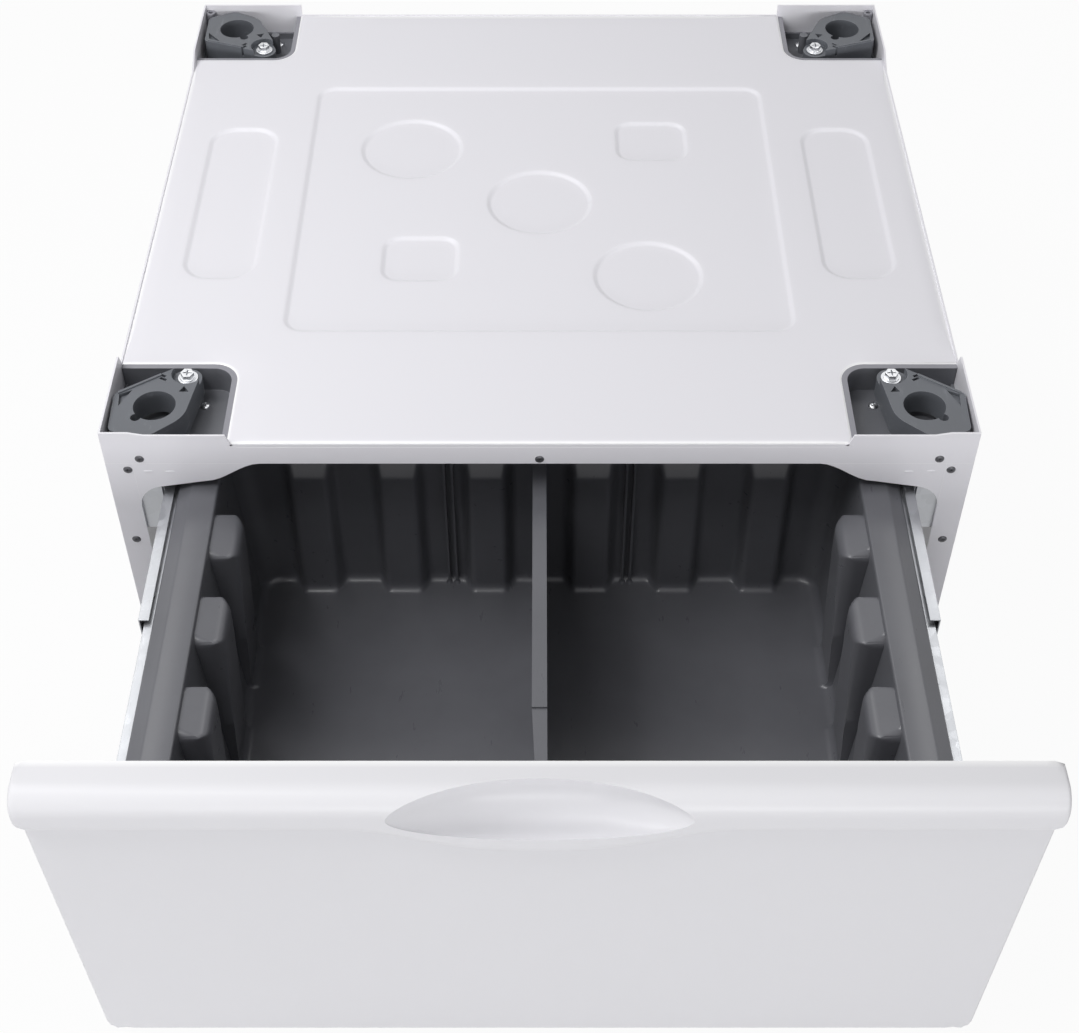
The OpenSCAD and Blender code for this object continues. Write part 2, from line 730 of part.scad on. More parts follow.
// Drawer member: its web lies on the bin's skirt, so it opens the other way
module slide_drawer() {
    color(zinc) translate([0, 0, slide_z]) along_y(bin_front, bin_front + low_l) {
        translate([slide_x - gap, -low_h]) square([slide_sheet, 2 * low_h]);
        for (z = [-low_h, low_h - slide_sheet]) translate([slide_x - gap, z])
            square([7, slide_sheet]);
    }
}

// Ball cage: a thin channel with a row of balls above and below
module ball_cage(t_ball, t_web, z_row, y0) {
    cage_t = 0.5;
    step = cage_l / 5;
    color(zinc) translate([0, y0, slide_z]) {
        difference() {
            along_y(0, cage_l) {
                translate([slide_x + t_web - cage_t, -z_row - 0.4]) square([cage_t, 2 * z_row + 0.8]);
                for (z = [-z_row, z_row]) translate([slide_x + t_ball - 2.4, z - 0.4])
                    square([t_web - t_ball + 2.4, 0.8]);
            }
            for (i = [0 : 4], z = [-z_row, z_row])
                translate([slide_x + t_ball, step * (i + 0.5), z - 1]) cylinder(r = ball_r + 0.1, h = 2);
        }
        for (i = [0 : 4], z = [-z_row, z_row])
            translate([slide_x + t_ball, step * (i + 0.5), z]) sphere(ball_r, $fn = 24);
    }
}

outer_row = mid_h + row / 2;
inner_row = low_h + row / 2;
module ball_cage_outer() {
    ball_cage(outer_ball_t, slide_t - slide_sheet - 0.3, outer_row, -hd + 22);
}
module ball_cage_inner() {
    ball_cage(inner_ball_t, slide_t - 2 * slide_sheet - 1.4, inner_row, bin_front + low_l - cage_l - 16);
}

// ---------------------------------------------------------------- drawer front

front_y = bin_front - 1.5;                        // back of the moulded front
front_top = top_h - front_drop;
face_y = front_y - face_t;
brow_y = front_y - brow_t;

// Fall of the brow's lower edge at x: a flat-bottomed dip in the middle
function dip(x) = abs(x) >= dip_x ? 0 : brow_dip * (1 + cos(180 * pow(abs(x) / dip_x, 1.4))) / 2;

// [y, z] outline of the tapered lower part, drawn in by g
module face_profile(g) {
    r = 6;
    polygon(concat(
        [[front_y + 1, front_top - g], [face_y + g, front_top - g],
         [face_y + g, front_top - brow_h]],
        [for (i = [0 : 4]) let (a = 180 + 90 * i / 4)
            [front_y - foot_t + g + r + r * cos(a), front_base + g + r + r * sin(a)]],
        [[front_y + 1, front_base + g]]));
}

// [y, z] outline of the brow with its rolled top edge, drawn in by g
module brow_profile(g) {
    low = front_top - brow_h - brow_dip - 5;
    r = roll_r - g;
    polygon(concat(
        [[front_y + 1, low], [front_y + 1, front_top - g]],
        [for (i = [0 : 8]) let (a = 90 + 90 * i / 8)
            [brow_y + roll_r + r * cos(a), front_top - roll_r + r * sin(a)]],
        [[brow_y + g, low]]));
}

// [x, z] outline of the brow: rounded lower corners and the dip in the middle
module brow_outline(g) {
    w = front_w / 2 - g;
    r = 9;
    low = front_top - brow_h + g;
    n = 24;
    polygon(concat(
        [[-w, front_top], [w, front_top]],
        [for (i = [0 : 4]) let (a = -90 * i / 4) [w - r + r * cos(a), low + r + r * sin(a)]],
        [for (i = [0 : n]) let (x = dip_x * (1 - 2 * i / n)) [x, low - dip(x)]],
        [for (i = [0 : 4]) let (a = -90 - 90 * i / 4) [-w + r + r * cos(a), low + r + r * sin(a)]]));
}

// [x, z] outline of the lower part: sides draw in towards the rounded bottom corners
module face_outline(g) {
    w = front_w / 2 - g;
    b = w - front_taper;
    r = 14;
    low = front_base + g;
    polygon(concat(
        [[-w, front_top - 10], [w, front_top - 10]],
        [for (i = [0 : 5]) let (a = -90 * i / 5) [b - r + r * cos(a), low + r + r * sin(a)]],
        [for (i = [0 : 5]) let (a = -90 - 90 * i / 5) [-b + r + r * cos(a), low + r + r * sin(a)]]));
}

module front_solid(g) {
    depth = 60;
    intersection() {
        along_x(front_w + 20) face_profile(g);
        along_y(front_y - depth, front_y + (g > 0 ? 1 : 0)) face_outline(g);
    }
    intersection() {
        along_x(front_w + 20) brow_profile(g);
        along_y(front_y - depth, front_y + (g > 0 ? 1 : 0)) brow_outline(g);
    }
}

// Finger scoop: a long egg shape sunk into the rolled edge, grown by g
module scoop(g) {
    n = 20;
    translate([0, brow_y + 7.5, front_top - 19.5]) rotate([0, 90, 0]) rotate_extrude(angle = 360, $fn = 64)
        polygon([for (i = [0 : n]) let (a = -90 + 180 * i / n)
            [i == 0 || i == n ? 0 : (scoop_r + g) * cos(a), (scoop_x + g) * sin(a)]]);
}

module drawer_front() {
    color(front_white) difference() {
        front_solid(0);
        difference() {
            front_solid(front_wall);
            scoop(front_wall);
        }
        scoop(0);
    }
}

// Sheet that closes the back of the moulded front and carries the bin
liner_screws = [for (x = [-1, 1], z = [0, 1]) [x * (rim_x - 41.5), z]];
function screw_z(i) = top_h - rim_drop - 30 - i * (bin_h - 60);
module front_liner() {
    color(white) difference() {
        along_y(front_y, bin_front) translate([0, (front_top + front_base) / 2])
            round_rect(front_w - 2 * front_taper - 4, front_top - front_base - 4, 10);
        for (s = liner_screws) translate([s[0], front_y - 1, screw_z(s[1])])
            rotate([-90, 0, 0]) cylinder(r = screw_r, h = 4);
    }
}

// ---------------------------------------------------------------- drawer bin

rim_z = top_h - rim_drop;
floor_z = rim_z - bin_h;
bin_y0 = bin_front + bin_wall;                    // inside of the front wall at the rim
bin_y1 = bin_y0 + bin_l;                          // inside of the back wall at the rim
bin_mid = (bin_y0 + bin_y1) / 2;
draft_y = 3;                                      // draft of the front and back walls
back_rim = 12;
nose_round = 5;                                   // round of the bin's upright edges at the front
tail_round = 18;                                  // and at the back

// Tapered body of the bin grown by g, from height z0 up to the rim
module bin_body(g, z0, z1) {
    intersection() {
        along_y(bin_y0 - 20, bin_y1 + 20) polygon([
            [-bin_x - g, z0], [bin_x + g, z0], [rim_x + g, z1], [-rim_x - g, z1]]);
        along_x(2 * rim_x + 40) polygon([
            [bin_y0 - g, z0], [bin_y1 - draft_y + g, z0], [bin_y1 + g, z1], [bin_y0 - g, z1]]);
        translate([0, 0, z0]) linear_extrude(z1 - z0) hull() for (s = [-1, 1]) {
            translate([s * (rim_x - nose_round), bin_y0 + nose_round]) circle(nose_round + g);
            translate([s * (rim_x - tail_round), bin_y1 - tail_round]) circle(tail_round + g);
        }
    }
}

// Back wall rib drawn in by g: a tapered column with a sloped top
module back_rib(x, g) {
    top = rim_z - 37;
    intersection() {
        translate([x, 0, floor_z - 2 * bin_wall]) linear_extrude(bin_h) polygon([
            [-rib_foot / 2 + g, bin_y1 + 20], [-rib_foot / 2 + g, bin_y1],
            [-rib_face / 2 + g / 2, bin_y1 - rib_d + g], [rib_face / 2 - g / 2, bin_y1 - rib_d + g],
            [rib_foot / 2 - g, bin_y1], [rib_foot / 2 - g, bin_y1 + 20]]);
        along_x(2 * body_w) polygon([
            [bin_y1 + 20, floor_z - 2 * bin_wall], [bin_y1 - draft_y - rib_d + g, floor_z - 2 * bin_wall],
            [bin_y1 - rib_d + g, top - g], [bin_y1 - rib_d + 4 + g, top + 6 - g],
            [bin_y1 + 1 + g, top + 18 - g], [bin_y1 + 20, top + 18 - g]]);
    }
}

// Side wall pillar on the right, drawn in by g: it tapers to the floor, and its top falls inwards
pillar_fall = 16;         // slope of the top, degrees
pillar_drop = 3.5;        // drop of the top below the rim, at the wall
module side_pillar(y, g) {
    top = rim_z - pillar_drop - g;
    reach = rim_x - pillar_d + g;
    w = pillar_w / 2 - g;
    r = pillar_r;
    back = rim_x + 16;
    base = floor_z - 2 * bin_wall;
    turn = 90 - pillar_fall;
    fall = (pillar_d - r * (1 - sin(pillar_fall))) * tan(pillar_fall);
    bend = [reach + r, top - fall - r * cos(pillar_fall)];
    intersection() {
        along_y(y - pillar_w, y + pillar_w) polygon(concat(
            [[back, base], [bin_x - 3 + g, base]],
            [for (i = [0 : 5]) let (a = 180 - turn * i / 5) bend + r * [cos(a), sin(a)]],
            [[rim_x, top], [back, top]]));
        along_x(2 * body_w) polygon(concat(
            [[y - w, base], [y + w, base]],
            [for (i = [0 : 4]) let (a = 90 * i / 4) [y + w - r + r * cos(a), top - r + r * sin(a)]],
            [for (i = [0 : 4]) let (a = 90 + 90 * i / 4) [y - w + r + r * cos(a), top - r + r * sin(a)]]));
        translate([back, y, base]) linear_extrude(bin_h + 3 * bin_wall)
            round_rect(2 * (back - reach), 2 * w, 12);
    }
}

pillar_y = [for (i = [-1 : 1]) bin_mid - 14 + i * pillar_pitch];
module ribs(g) {
    for (x = [-2.5 : 1 : 2.5]) back_rib(x * rib_pitch + sign(x) * 6.5, g);
    both() for (y = pillar_y) side_pillar(y, g);
}

// Hollow rim along a side: rounded top, outer skirt that carries the slide member
module rim_section() {
    x1 = rim_x + side_rim;
    difference() {
        union() {
            translate([rim_x, rim_z - bin_wall]) square([side_rim - rim_r, bin_wall]);
            translate([x1 - bin_wall, rim_z - skirt_h]) square([bin_wall, skirt_h - rim_r]);
            intersection() {
                translate([x1 - rim_r, rim_z - rim_r]) circle(rim_r);
                translate([x1 - rim_r, rim_z - rim_r]) square(rim_r + 1);
            }
        }
        translate([x1 - rim_r, rim_z - rim_r]) circle(max(rim_r - bin_wall, 0.2));
    }
}

// A pair of thin ribs that hold the divider's edge
channel_w = divider_t + 2 * gap;
module divider_guide(x, y0, y1) {
    for (s = [-1, 1]) translate([x + s * (channel_w / 2 + 1), 0, 0])
        block([-1, y0, floor_z - 1], [1, y1, rim_z - 20]);
}

// Moulded bin: drafted walls, hollow ribs and pillars pressed in from outside, hollow side rims
module drawer_bin() {
    color(dark_grey) difference() {
        union() {
            difference() {
                bin_body(bin_wall, floor_z - bin_wall, rim_z);
                difference() {
                    bin_body(0, floor_z, rim_z + 1);
                    ribs(0);
                }
            }
            along_y(bin_y0 - bin_wall, bin_y1 + back_rim) both() rim_section();
            block([-rim_x - 1, bin_y1 + bin_wall / 2, rim_z - bin_wall],
                [rim_x + 1, bin_y1 + back_rim, rim_z]);
            block([-rim_x - 1, bin_y1 + back_rim - bin_wall, rim_z - 18],
                [rim_x + side_rim - 1, bin_y1 + back_rim, rim_z - 1]);
            mirror([1, 0, 0]) block([0, bin_y1 + back_rim - bin_wall, rim_z - 18],
                [rim_x + side_rim - 1, bin_y1 + back_rim, rim_z - 1]);
            for (x = [-rib_pitch - 2, 0, rib_pitch + 2]) divider_guide(x, bin_y1 - draft_y - 5, bin_y1 + 1);
            divider_guide(0, bin_y0 - 1, bin_y0 + 3);
        }
        ribs(bin_wall);
        for (s = liner_screws) translate([s[0], bin_front - 1, screw_z(s[1])])
            rotate([-90, 0, 0]) cylinder(r = screw_r, h = bin_wall + 2);
    }
}

// Divider panel with a broad top edge, which is lowered and drawn in on its left at the front
divider_rim = 4;
module bin_divider() {
    top = rim_z - 3;
    nose = top - nose_drop;
    y0 = bin_y0 + gap;
    y1 = bin_y1 - draft_y - gap;
    step = y0 + divider_nose;
    edge = divider_edge / 2;
    color(dark_grey) {
        along_x(divider_t) polygon([
            [y0, floor_z + gap], [y1, floor_z + gap], [y1, top - 1], [step, top - 1],
            [step, nose - 1], [y0, nose - 1]]);
        block([-edge, step, top - divider_rim], [edge, y1, top]);
        translate([0, 0, nose - divider_rim]) linear_extrude(divider_rim)
            polygon([[-edge, step + 1], [edge, step + 1], [edge, y0], [edge - nose_w, y0]]);
    }
}

module drawer_screws() {
    color(zinc) for (s = liner_screws) translate([s[0], bin_y0, screw_z(s[1])]) {
        rotate([-90, 0, 0]) rotate_extrude() polygon([[0, 0], [5, 0], [5, 0.8], [3, 2.4], [0, 2.4]]);
        rotate([90, 0, 0]) cylinder(r = screw_r - fit, h = 14);
    }
}

// Soft discs behind the drawer front that meet the posts
module drawer_bumpers() {
    color(rubber) both() for (z = [front_base + 40, front_top - 60])
        translate([post_x + 8, bin_front, z]) rotate([-90, 0, 0]) cylinder(r = 5, h = 1.5);
}

// ---------------------------------------------------------------- the nodes

top_panel();
left() side_panel();  // side_panel_left
side_panel();  // side_panel_right
back_panel();
front_rail();
left() corner_plate();  // corner_plate_left
corner_plate();  // corner_plate_right
base_rail([]);  // base_rail_front
mirror([0, 1, 0]) base_rail(back_screw_x);  // base_rail_rear
left() foot_bracket(-1);  // foot_bracket_front_left
foot_bracket(-1);  // foot_bracket_front_right
left() foot_bracket(1);  // foot_bracket_rear_left
foot_bracket(1);  // foot_bracket_rear_right
left() front_corner() cup_tray(cup_v_front, bolt_front, cup_screw_front);  // cup_tray_front_left
front_corner() cup_tray(cup_v_front, bolt_front, cup_screw_front);  // cup_tray_front_right
left() rear_corner() cup_tray(cup_v_rear, bolt_rear, cup_screw_rear);  // cup_tray_rear_left
rear_corner() cup_tray(cup_v_rear, bolt_rear, cup_screw_rear);  // cup_tray_rear_right
left() front_corner() foot_cup(cup_v_front, bolt_front, cup_screw_front, false);  // foot_cup_front_left
front_corner() foot_cup(cup_v_front, bolt_front, cup_screw_front, false);  // foot_cup_front_right
left() rear_corner() foot_cup(cup_v_rear, bolt_rear, cup_screw_rear, true);  // foot_cup_rear_left
rear_corner() foot_cup(cup_v_rear, bolt_rear, cup_screw_rear, true);  // foot_cup_rear_right
left() front_corner() translate(bolt_front) rotate(lock_a_front) foot_lock(tips_front, -15);  // foot_lock_front_left
front_corner() translate(bolt_front) rotate(lock_a_front) foot_lock(tips_front, -15);  // foot_lock_front_right
left() rear_corner() translate(bolt_rear) rotate(lock_a_rear) foot_lock(tips_rear, 195);  // foot_lock_rear_left
rear_corner() translate(bolt_rear) rotate(lock_a_rear) foot_lock(tips_rear, 195);  // foot_lock_rear_right
both() {  // clamp_bolts
    front_corner() clamp_bolt(bolt_front);
    rear_corner() clamp_bolt(bolt_rear);
}
both() {  // clamp_nuts
    front_corner() clamp_nut(bolt_front);
    rear_corner() clamp_nut(bolt_rear);
}
both() {  // cup_screws
    front_corner() cup_screw(cup_screw_front);
    rear_corner() cup_screw(cup_screw_rear);
}
frame_screws();
back_screws();
left() levelling_foot(-1);  // levelling_foot_front_left
levelling_foot(-1);  // levelling_foot_front_right
left() levelling_foot(1);  // levelling_foot_rear_left
levelling_foot(1);  // levelling_foot_rear_right
foot_nuts();
left() slide_bracket();  // slide_bracket_left
slide_bracket();  // slide_bracket_right
left() slide_cabinet();  // slide_cabinet_left
slide_cabinet();  // slide_cabinet_right
left() ball_cage_outer();  // ball_cage_outer_left
ball_cage_outer();  // ball_cage_outer_right
left() slide_middle();  // slide_middle_left
slide_middle();  // slide_middle_right
left() ball_cage_inner();  // ball_cage_inner_left
ball_cage_inner();  // ball_cage_inner_right
left() slide_drawer();  // slide_drawer_left
slide_drawer();  // slide_drawer_right
drawer_front();
front_liner();
drawer_bin();
bin_divider();
drawer_screws();
drawer_bumpers();
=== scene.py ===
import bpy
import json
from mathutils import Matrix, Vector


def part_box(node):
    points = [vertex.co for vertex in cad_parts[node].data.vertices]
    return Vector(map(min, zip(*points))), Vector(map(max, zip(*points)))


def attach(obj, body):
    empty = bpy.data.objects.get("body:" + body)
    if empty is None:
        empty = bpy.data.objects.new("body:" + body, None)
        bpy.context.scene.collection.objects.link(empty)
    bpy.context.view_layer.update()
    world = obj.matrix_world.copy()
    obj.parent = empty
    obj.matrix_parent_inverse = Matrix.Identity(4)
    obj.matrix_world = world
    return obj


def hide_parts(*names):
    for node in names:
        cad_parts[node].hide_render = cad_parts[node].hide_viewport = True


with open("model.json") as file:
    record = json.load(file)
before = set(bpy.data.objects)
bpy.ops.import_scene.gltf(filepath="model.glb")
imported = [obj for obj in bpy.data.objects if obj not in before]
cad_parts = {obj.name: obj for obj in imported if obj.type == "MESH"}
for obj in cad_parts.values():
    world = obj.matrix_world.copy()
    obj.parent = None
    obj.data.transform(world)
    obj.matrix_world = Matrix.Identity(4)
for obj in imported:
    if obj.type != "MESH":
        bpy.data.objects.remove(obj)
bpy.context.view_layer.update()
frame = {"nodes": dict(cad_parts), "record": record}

import json
import math

import bmesh
import bpy
import numpy as np
from mathutils import Matrix, Vector
from mathutils.geometry import delaunay_2d_cdt

# -------------------- viewpoint
# The pedestal is seen from in front and well above, with its drawer pulled out.
# The lens has the strong perspective of a picture taken from under a metre away.

camera = bpy.data.objects.new("viewpoint", bpy.data.cameras.new("viewpoint"))
bpy.context.scene.collection.objects.link(camera)
camera.location = (0, -1.27853, 1.30577)
camera.rotation_euler = (math.radians(43.59), 0, 0)
camera.data.sensor_width = 36
camera.data.lens = 58.70
camera.data.clip_start, camera.data.clip_end = 0.05, 60
bpy.context.scene.camera = camera
bpy.context.scene.view_settings.view_transform = "Standard"


class Wire:
    """A socket that takes part in Python sums: each operator adds one Math node."""

    def __init__(self, tree, socket):
        self.tree, self.socket = tree, socket

    def sum(self, operation, *parts):
        return self.tree.node("ShaderNodeMath", {"operation": operation}, dict(enumerate(parts)))

    def __add__(self, other): return self.sum("ADD", self, other)
    def __radd__(self, other): return self.sum("ADD", other, self)
    def __sub__(self, other): return self.sum("SUBTRACT", self, other)
    def __rsub__(self, other): return self.sum("SUBTRACT", other, self)
    def __mul__(self, other): return self.sum("MULTIPLY", self, other)
    def __rmul__(self, other): return self.sum("MULTIPLY", other, self)
    def __truediv__(self, other): return self.sum("DIVIDE", self, other)


class Tree:
    """A node tree; node() adds any node, sets it up and feeds its sockets."""

    def __init__(self, tree):
        self.tree = tree

    def node(self, kind, settings=None, sockets=None, out=None):
        made = self.tree.nodes.new(kind)
        for key, value in (settings or {}).items():
            setattr(made, key, value)
        for key, value in (sockets or {}).items():
            socket = made.inputs[key] if isinstance(key, int) else next(
                s for s in made.inputs if s.enabled and s.name == key)
            if isinstance(value, Wire):
                self.tree.links.new(value.socket, socket)
            elif isinstance(value, list) and isinstance(value[0], Wire):
                for wire in value:
                    self.tree.links.new(wire.socket, socket)
            elif socket.type == "RGBA" and len(value) == 3:
                socket.default_value = (*value, 1)
            else:
                socket.default_value = value
        shown = [s for s in made.outputs if s.enabled]
        if not shown:
            return made
        return Wire(self, next((s for s in shown if s.name == out), shown[0]))


class Finish(Tree):
    """A material: where() is a place on the piece, and done() feeds the surface shader."""

    def __init__(self, name):
        self.material = bpy.data.materials.new(name)
        self.material.use_nodes = True
        super().__init__(self.material.node_tree)
        self.tree.nodes.clear()

    def where(self, scale=(1, 1, 1)):
        place = self.node("ShaderNodeTexCoord", out="Object")
        return self.node("ShaderNodeMapping", {}, {"Vector": place, "Scale": scale})

    def height(self):
        """Height above the floor, in metres."""
        place = self.node("ShaderNodeTexCoord", out="Object")
        return self.node("ShaderNodeSeparateXYZ", {}, {"Vector": place}, "Z")

    def noise(self, size, scale=(1, 1, 1), detail=2.0, rough=0.5):
        """Cloudy pattern with spots of about the given size in millimetres."""
        return self.node("ShaderNodeTexNoise", {}, {
            "Vector": self.where(scale), "Scale": 1000 / size, "Detail": detail, "Roughness": rough}, "Fac")

    def mix(self, share, a, b):
        return self.node("ShaderNodeMix", {"data_type": "RGBA", "clamp_factor": True},
                         {"Factor": share, "A": a, "B": b}, "Result")

    def spread(self, value, low, high):
        """0 below the low value, 1 above the high one, and a soft step between them."""
        return self.node("ShaderNodeMapRange", {"clamp": True, "interpolation_type": "SMOOTHSTEP"}, {
            "Value": value, "From Min": low, "From Max": high})

    def bump(self, height, depth, strength):
        """Relief of the given depth in millimetres."""
        return self.node("ShaderNodeBump", {}, {
            "Height": height, "Distance": depth / 1000, "Strength": strength}, "Normal")

    def edges(self):
        """1 on the rounded edges of a piece, 0 on its faces."""
        return self.node("ShaderNodeAttribute", {
            "attribute_type": "GEOMETRY", "attribute_name": "edge"}, out="Fac")

    def done(self, **sockets):
        shader = self.node("ShaderNodeBsdfPrincipled", {}, {
            key.replace("_", " "): value for key, value in sockets.items()}, "BSDF")
        self.node("ShaderNodeOutputMaterial", {}, {"Surface": shader})
        return self.material


# -------------------- studio
# A plain pale floor that runs out of sight, and soft lamps: the main one above on
# the left, a low distant one in front, and weak ones above the front and behind.

floor_show, air_light = 0.95, 0.29  # how white the floor looks, and how much light the air gives
bpy.ops.mesh.primitive_plane_add(size=40, location=(0, 0, 0))
floor = bpy.context.object
floor.name = "studio_floor"
ground = Finish("pale floor")


def seen(tree):
    """1 where the surroundings are seen, directly or in a shiny surface; 0 where they give light."""
    direct, shiny, through = [tree.node("ShaderNodeLightPath", out="Is %s Ray" % kind)
                              for kind in ("Camera", "Glossy", "Transmission")]
    return direct.sum("MAXIMUM", direct, shiny.sum("MAXIMUM", shiny, through))


ground.node("ShaderNodeOutputMaterial", {}, {"Surface": ground.node("ShaderNodeMixShader", {}, {
    0: seen(ground) * floor_show,
    1: ground.node("ShaderNodeBsdfDiffuse", {}, {"Color": (0.66, 0.66, 0.67)}),
    2: ground.node("ShaderNodeEmission", {}, {"Color": (1, 1, 1), "Strength": 1.0})})})
floor.data.materials.append(ground.material)

world = bpy.data.worlds.new("studio air")
bpy.context.scene.world = world
world.use_nodes = True
air = Tree(world.node_tree)
air.tree.nodes.clear()
air.node("ShaderNodeOutputWorld", {}, {"Surface": air.node("ShaderNodeBackground", {}, {
    "Color": (1.0, 1.0, 1.0), "Strength": air_light + (1 - air_light) * seen(air)})})


def lamp(name, place, aim, width, depth, power):
    data = bpy.data.lights.new(name, "AREA")
    data.shape, data.size, data.size_y, data.energy = "RECTANGLE", width, depth, power
    made = bpy.data.objects.new(name, data)
    made.location = place
    made.rotation_euler = (Vector(aim) - Vector(place)).to_track_quat("-Z", "Y").to_euler()
    bpy.context.scene.collection.objects.link(made)


lamp("main_lamp", (-1.2, -0.4, 2.0), (0, -0.2, 0.2), 0.9, 0.9, 19.5)
lamp("front_lamp", (0.3, -5.0, 0.8), (0, -0.3, 0.3), 2.6, 1.0, 92.0)
lamp("brow_lamp", (-0.7, -1.18, 2.4), (0, -0.4, 0.3), 0.9, 0.15, 10.0)
for side, x in (("left", -0.94), ("right", 0.94)):
    lamp("back_lamp_" + side, (x, 1.0, 2.4), (x * 0.3, -0.5, 0.3), 0.4, 0.6, 4.5)

# -------------------- folded sheet parts
# Side panels, back, rails, corner plates and trays: 1.5 mm steel sheet, cut and
# folded, then powder coated white. The coat rounds every edge a little.

MM = 0.001
top_z, front_y, sheet_t = 370, 311.0, 1.5  # top face, outer face of the front rail, and the sheet
corner_names = ("front_left", "front_right", "rear_left", "rear_right")


def powder_coat(name, colour, shine, gloss=0.5):
    """Painted or moulded white: a very fine orange peel, and a painted highlight on its rounded edges."""
    coat = Finish(name)
    return coat.done(
        # Painted highlight: the base colour is lifted to near white on the marked edges.
        Base_Color=coat.mix(coat.edges() * 0.85, colour, (0.98, 0.98, 0.985)),
        Roughness=shine + 0.02 * coat.noise(1.2, detail=1.5), IOR=1.5, Specular_IOR_Level=gloss,
        Normal=coat.bump(coat.noise(0.8, detail=1.0), 0.012, 0.25))


cabinet_white = powder_coat("white powder coat", (0.800, 0.792, 0.836), 0.36)


def put_on(piece, material):
    """Gives a piece or a CAD node this material in every slot."""
    if not piece.data.materials:
        piece.data.materials.append(material)
    for i in range(len(piece.data.materials)):
        piece.data.materials[i] = material


def body_with(node):
    return next(b for b, nodes in frame["record"]["behaviour"]["bodies"].items() if node in nodes)


def slot_with(node):
    return next(s["material_slot"] for s in frame["record"]["subparts"] if s["node"] == node)


def shade(mesh, angle=32):
    """Smooth faces, with sharp edges above the angle."""
    mesh.polygons.foreach_set("use_smooth", [True] * len(mesh.polygons))
    mesh.set_sharp_from_angle(angle=math.radians(angle))


def finish_piece(piece, material, body, slot, *nodes):
    """Paints a piece, lets it ride and hides the CAD nodes it stands for."""
    put_on(piece, material)
    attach(piece, body)
    if nodes:
        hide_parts(*nodes)
    return piece


def new_piece(name, mesh):
    piece = bpy.data.objects.new(name, mesh)
    bpy.context.scene.collection.objects.link(piece)
    return piece


def settle(piece):
    """Turns a piece with its modifiers into a plain mesh."""
    bpy.context.view_layer.update()
    graph = bpy.context.evaluated_depsgraph_get()
    plain = bpy.data.meshes.new_from_object(piece.evaluated_get(graph), preserve_all_data_layers=True,
                                            depsgraph=graph)
    piece.modifiers.clear()
    old = piece.data
    piece.data = plain
    bpy.data.meshes.remove(old)
    return piece


def rounded(node, radius, material, segments=2, angle=34, reshape=None):
    """A copy of a CAD node's shape with its sharp edges rounded, in place of the node."""
    shape = bmesh.new()
    shape.from_mesh(frame["nodes"][node].data)
    bmesh.ops.remove_doubles(shape, verts=shape.verts, dist=3e-6)
    bmesh.ops.dissolve_degenerate(shape, dist=3e-6, edges=shape.edges)
    bmesh.ops.dissolve_limit(shape, angle_limit=math.radians(0.8), verts=shape.verts, edges=shape.edges)
    if reshape:
        reshape(shape)
    mesh = bpy.data.meshes.new(node + "_finished")
    shape.to_mesh(mesh)
    shape.free()
    mesh.polygons.foreach_set("use_smooth", [True] * len(mesh.polygons))
    for _ in range(2):
        mesh.materials.append(material)
    piece = new_piece(node + "_finished", mesh)
    bevel = piece.modifiers.new("edge", "BEVEL")
    bevel.width, bevel.segments, bevel.material = radius * MM, segments, 1
    bevel.limit_method, bevel.angle_limit = "ANGLE", math.radians(angle)
    bevel.use_clamp_overlap, bevel.loop_slide = True, True
    even = piece.modifiers.new("even shading", "WEIGHTED_NORMAL")
    even.weight, even.keep_sharp = 100, False
    settle(piece)
    # The rounded faces are marked as edge; the white coat paints a highlight on them.
    mesh, marks = piece.data, [0] * len(piece.data.polygons)
    mesh.polygons.foreach_get("material_index", marks)
    mesh.attributes.new("edge", "FLOAT", "FACE").data.foreach_set("value", [float(m) for m in marks])
    mesh.polygons.foreach_set("material_index", [0] * len(marks))
    mesh.materials.pop()
    return finish_piece(piece, material, body_with(node), slot_with(node), node)


bend_r, bend_x0, bend_x1 = 4.0, 237.0, 232.0  # bend from the top sheet down to the front rail
fold_z, fold_x, fold_r = 348.7, 216.6, 1.35  # fold along the rail's lower edge


def bend_share(x):
    """1 along the middle of the front, falling to 0 where the corner lips begin."""
    return np.clip((bend_x0 - np.abs(x)) / (bend_x0 - bend_x1), 0, 1)


def rail_bends(shape):
    """Ends the rail's face below the bend of the top sheet, and rounds its lower fold."""
    for x in (-bend_x1, bend_x1):
        bmesh.ops.bisect_plane(shape, geom=shape.verts[:] + shape.edges[:] + shape.faces[:],
                               plane_co=(x * MM, 0, 0), plane_no=(1, 0, 0), dist=1e-6)
    for v in shape.verts:
        if v.co.z > (top_z - 0.5) * MM and abs(v.co.x) < (bend_x1 + 0.1) * MM:
            v.co.z = (top_z - bend_r + 0.2) * MM
    fold = [e for e in shape.edges if all(
        abs(v.co.z - fold_z * MM) < 2e-5 and abs(v.co.y + front_y * MM) < 2e-5
        and abs(v.co.x) < fold_x * MM for v in e.verts)]
    # material=1 marks the rounded fold, where the white coat paints a highlight.
    bmesh.ops.bevel(shape, geom=fold, offset=fold_r * MM, segments=4, profile=0.5, affect="EDGES", material=1)


for side in ("left", "right"):
    rounded("side_panel_" + side, 0.74, cabinet_white)
    rounded("corner_plate_" + side, 0.74, cabinet_white)
rounded("back_panel", 0.7, cabinet_white)
rounded("front_rail", 0.72, cabinet_white, reshape=rail_bends)
for node in ("base_rail_front", "base_rail_rear", "front_liner"):
    rounded(node, 0.4, cabinet_white)
for corner in corner_names:
    rounded("cup_tray_" + corner, 0.4, cabinet_white)

# -------------------- top sheet
# One sheet of steel, pressed with a large field, two side beads and five shallow
# dishes that stiffen it. The presses leave soft shoulders about 5 mm wide.


def box_distance(x, y, centre, width, length, radius):
    """Distance to a rectangle with round corners, below zero inside."""
    qx = np.abs(x - centre[0]) - width / 2 + radius
    qy = np.abs(y - centre[1]) - length / 2 + radius
    return np.hypot(np.maximum(qx, 0), np.maximum(qy, 0)) + np.minimum(np.maximum(qx, qy), 0) - radius


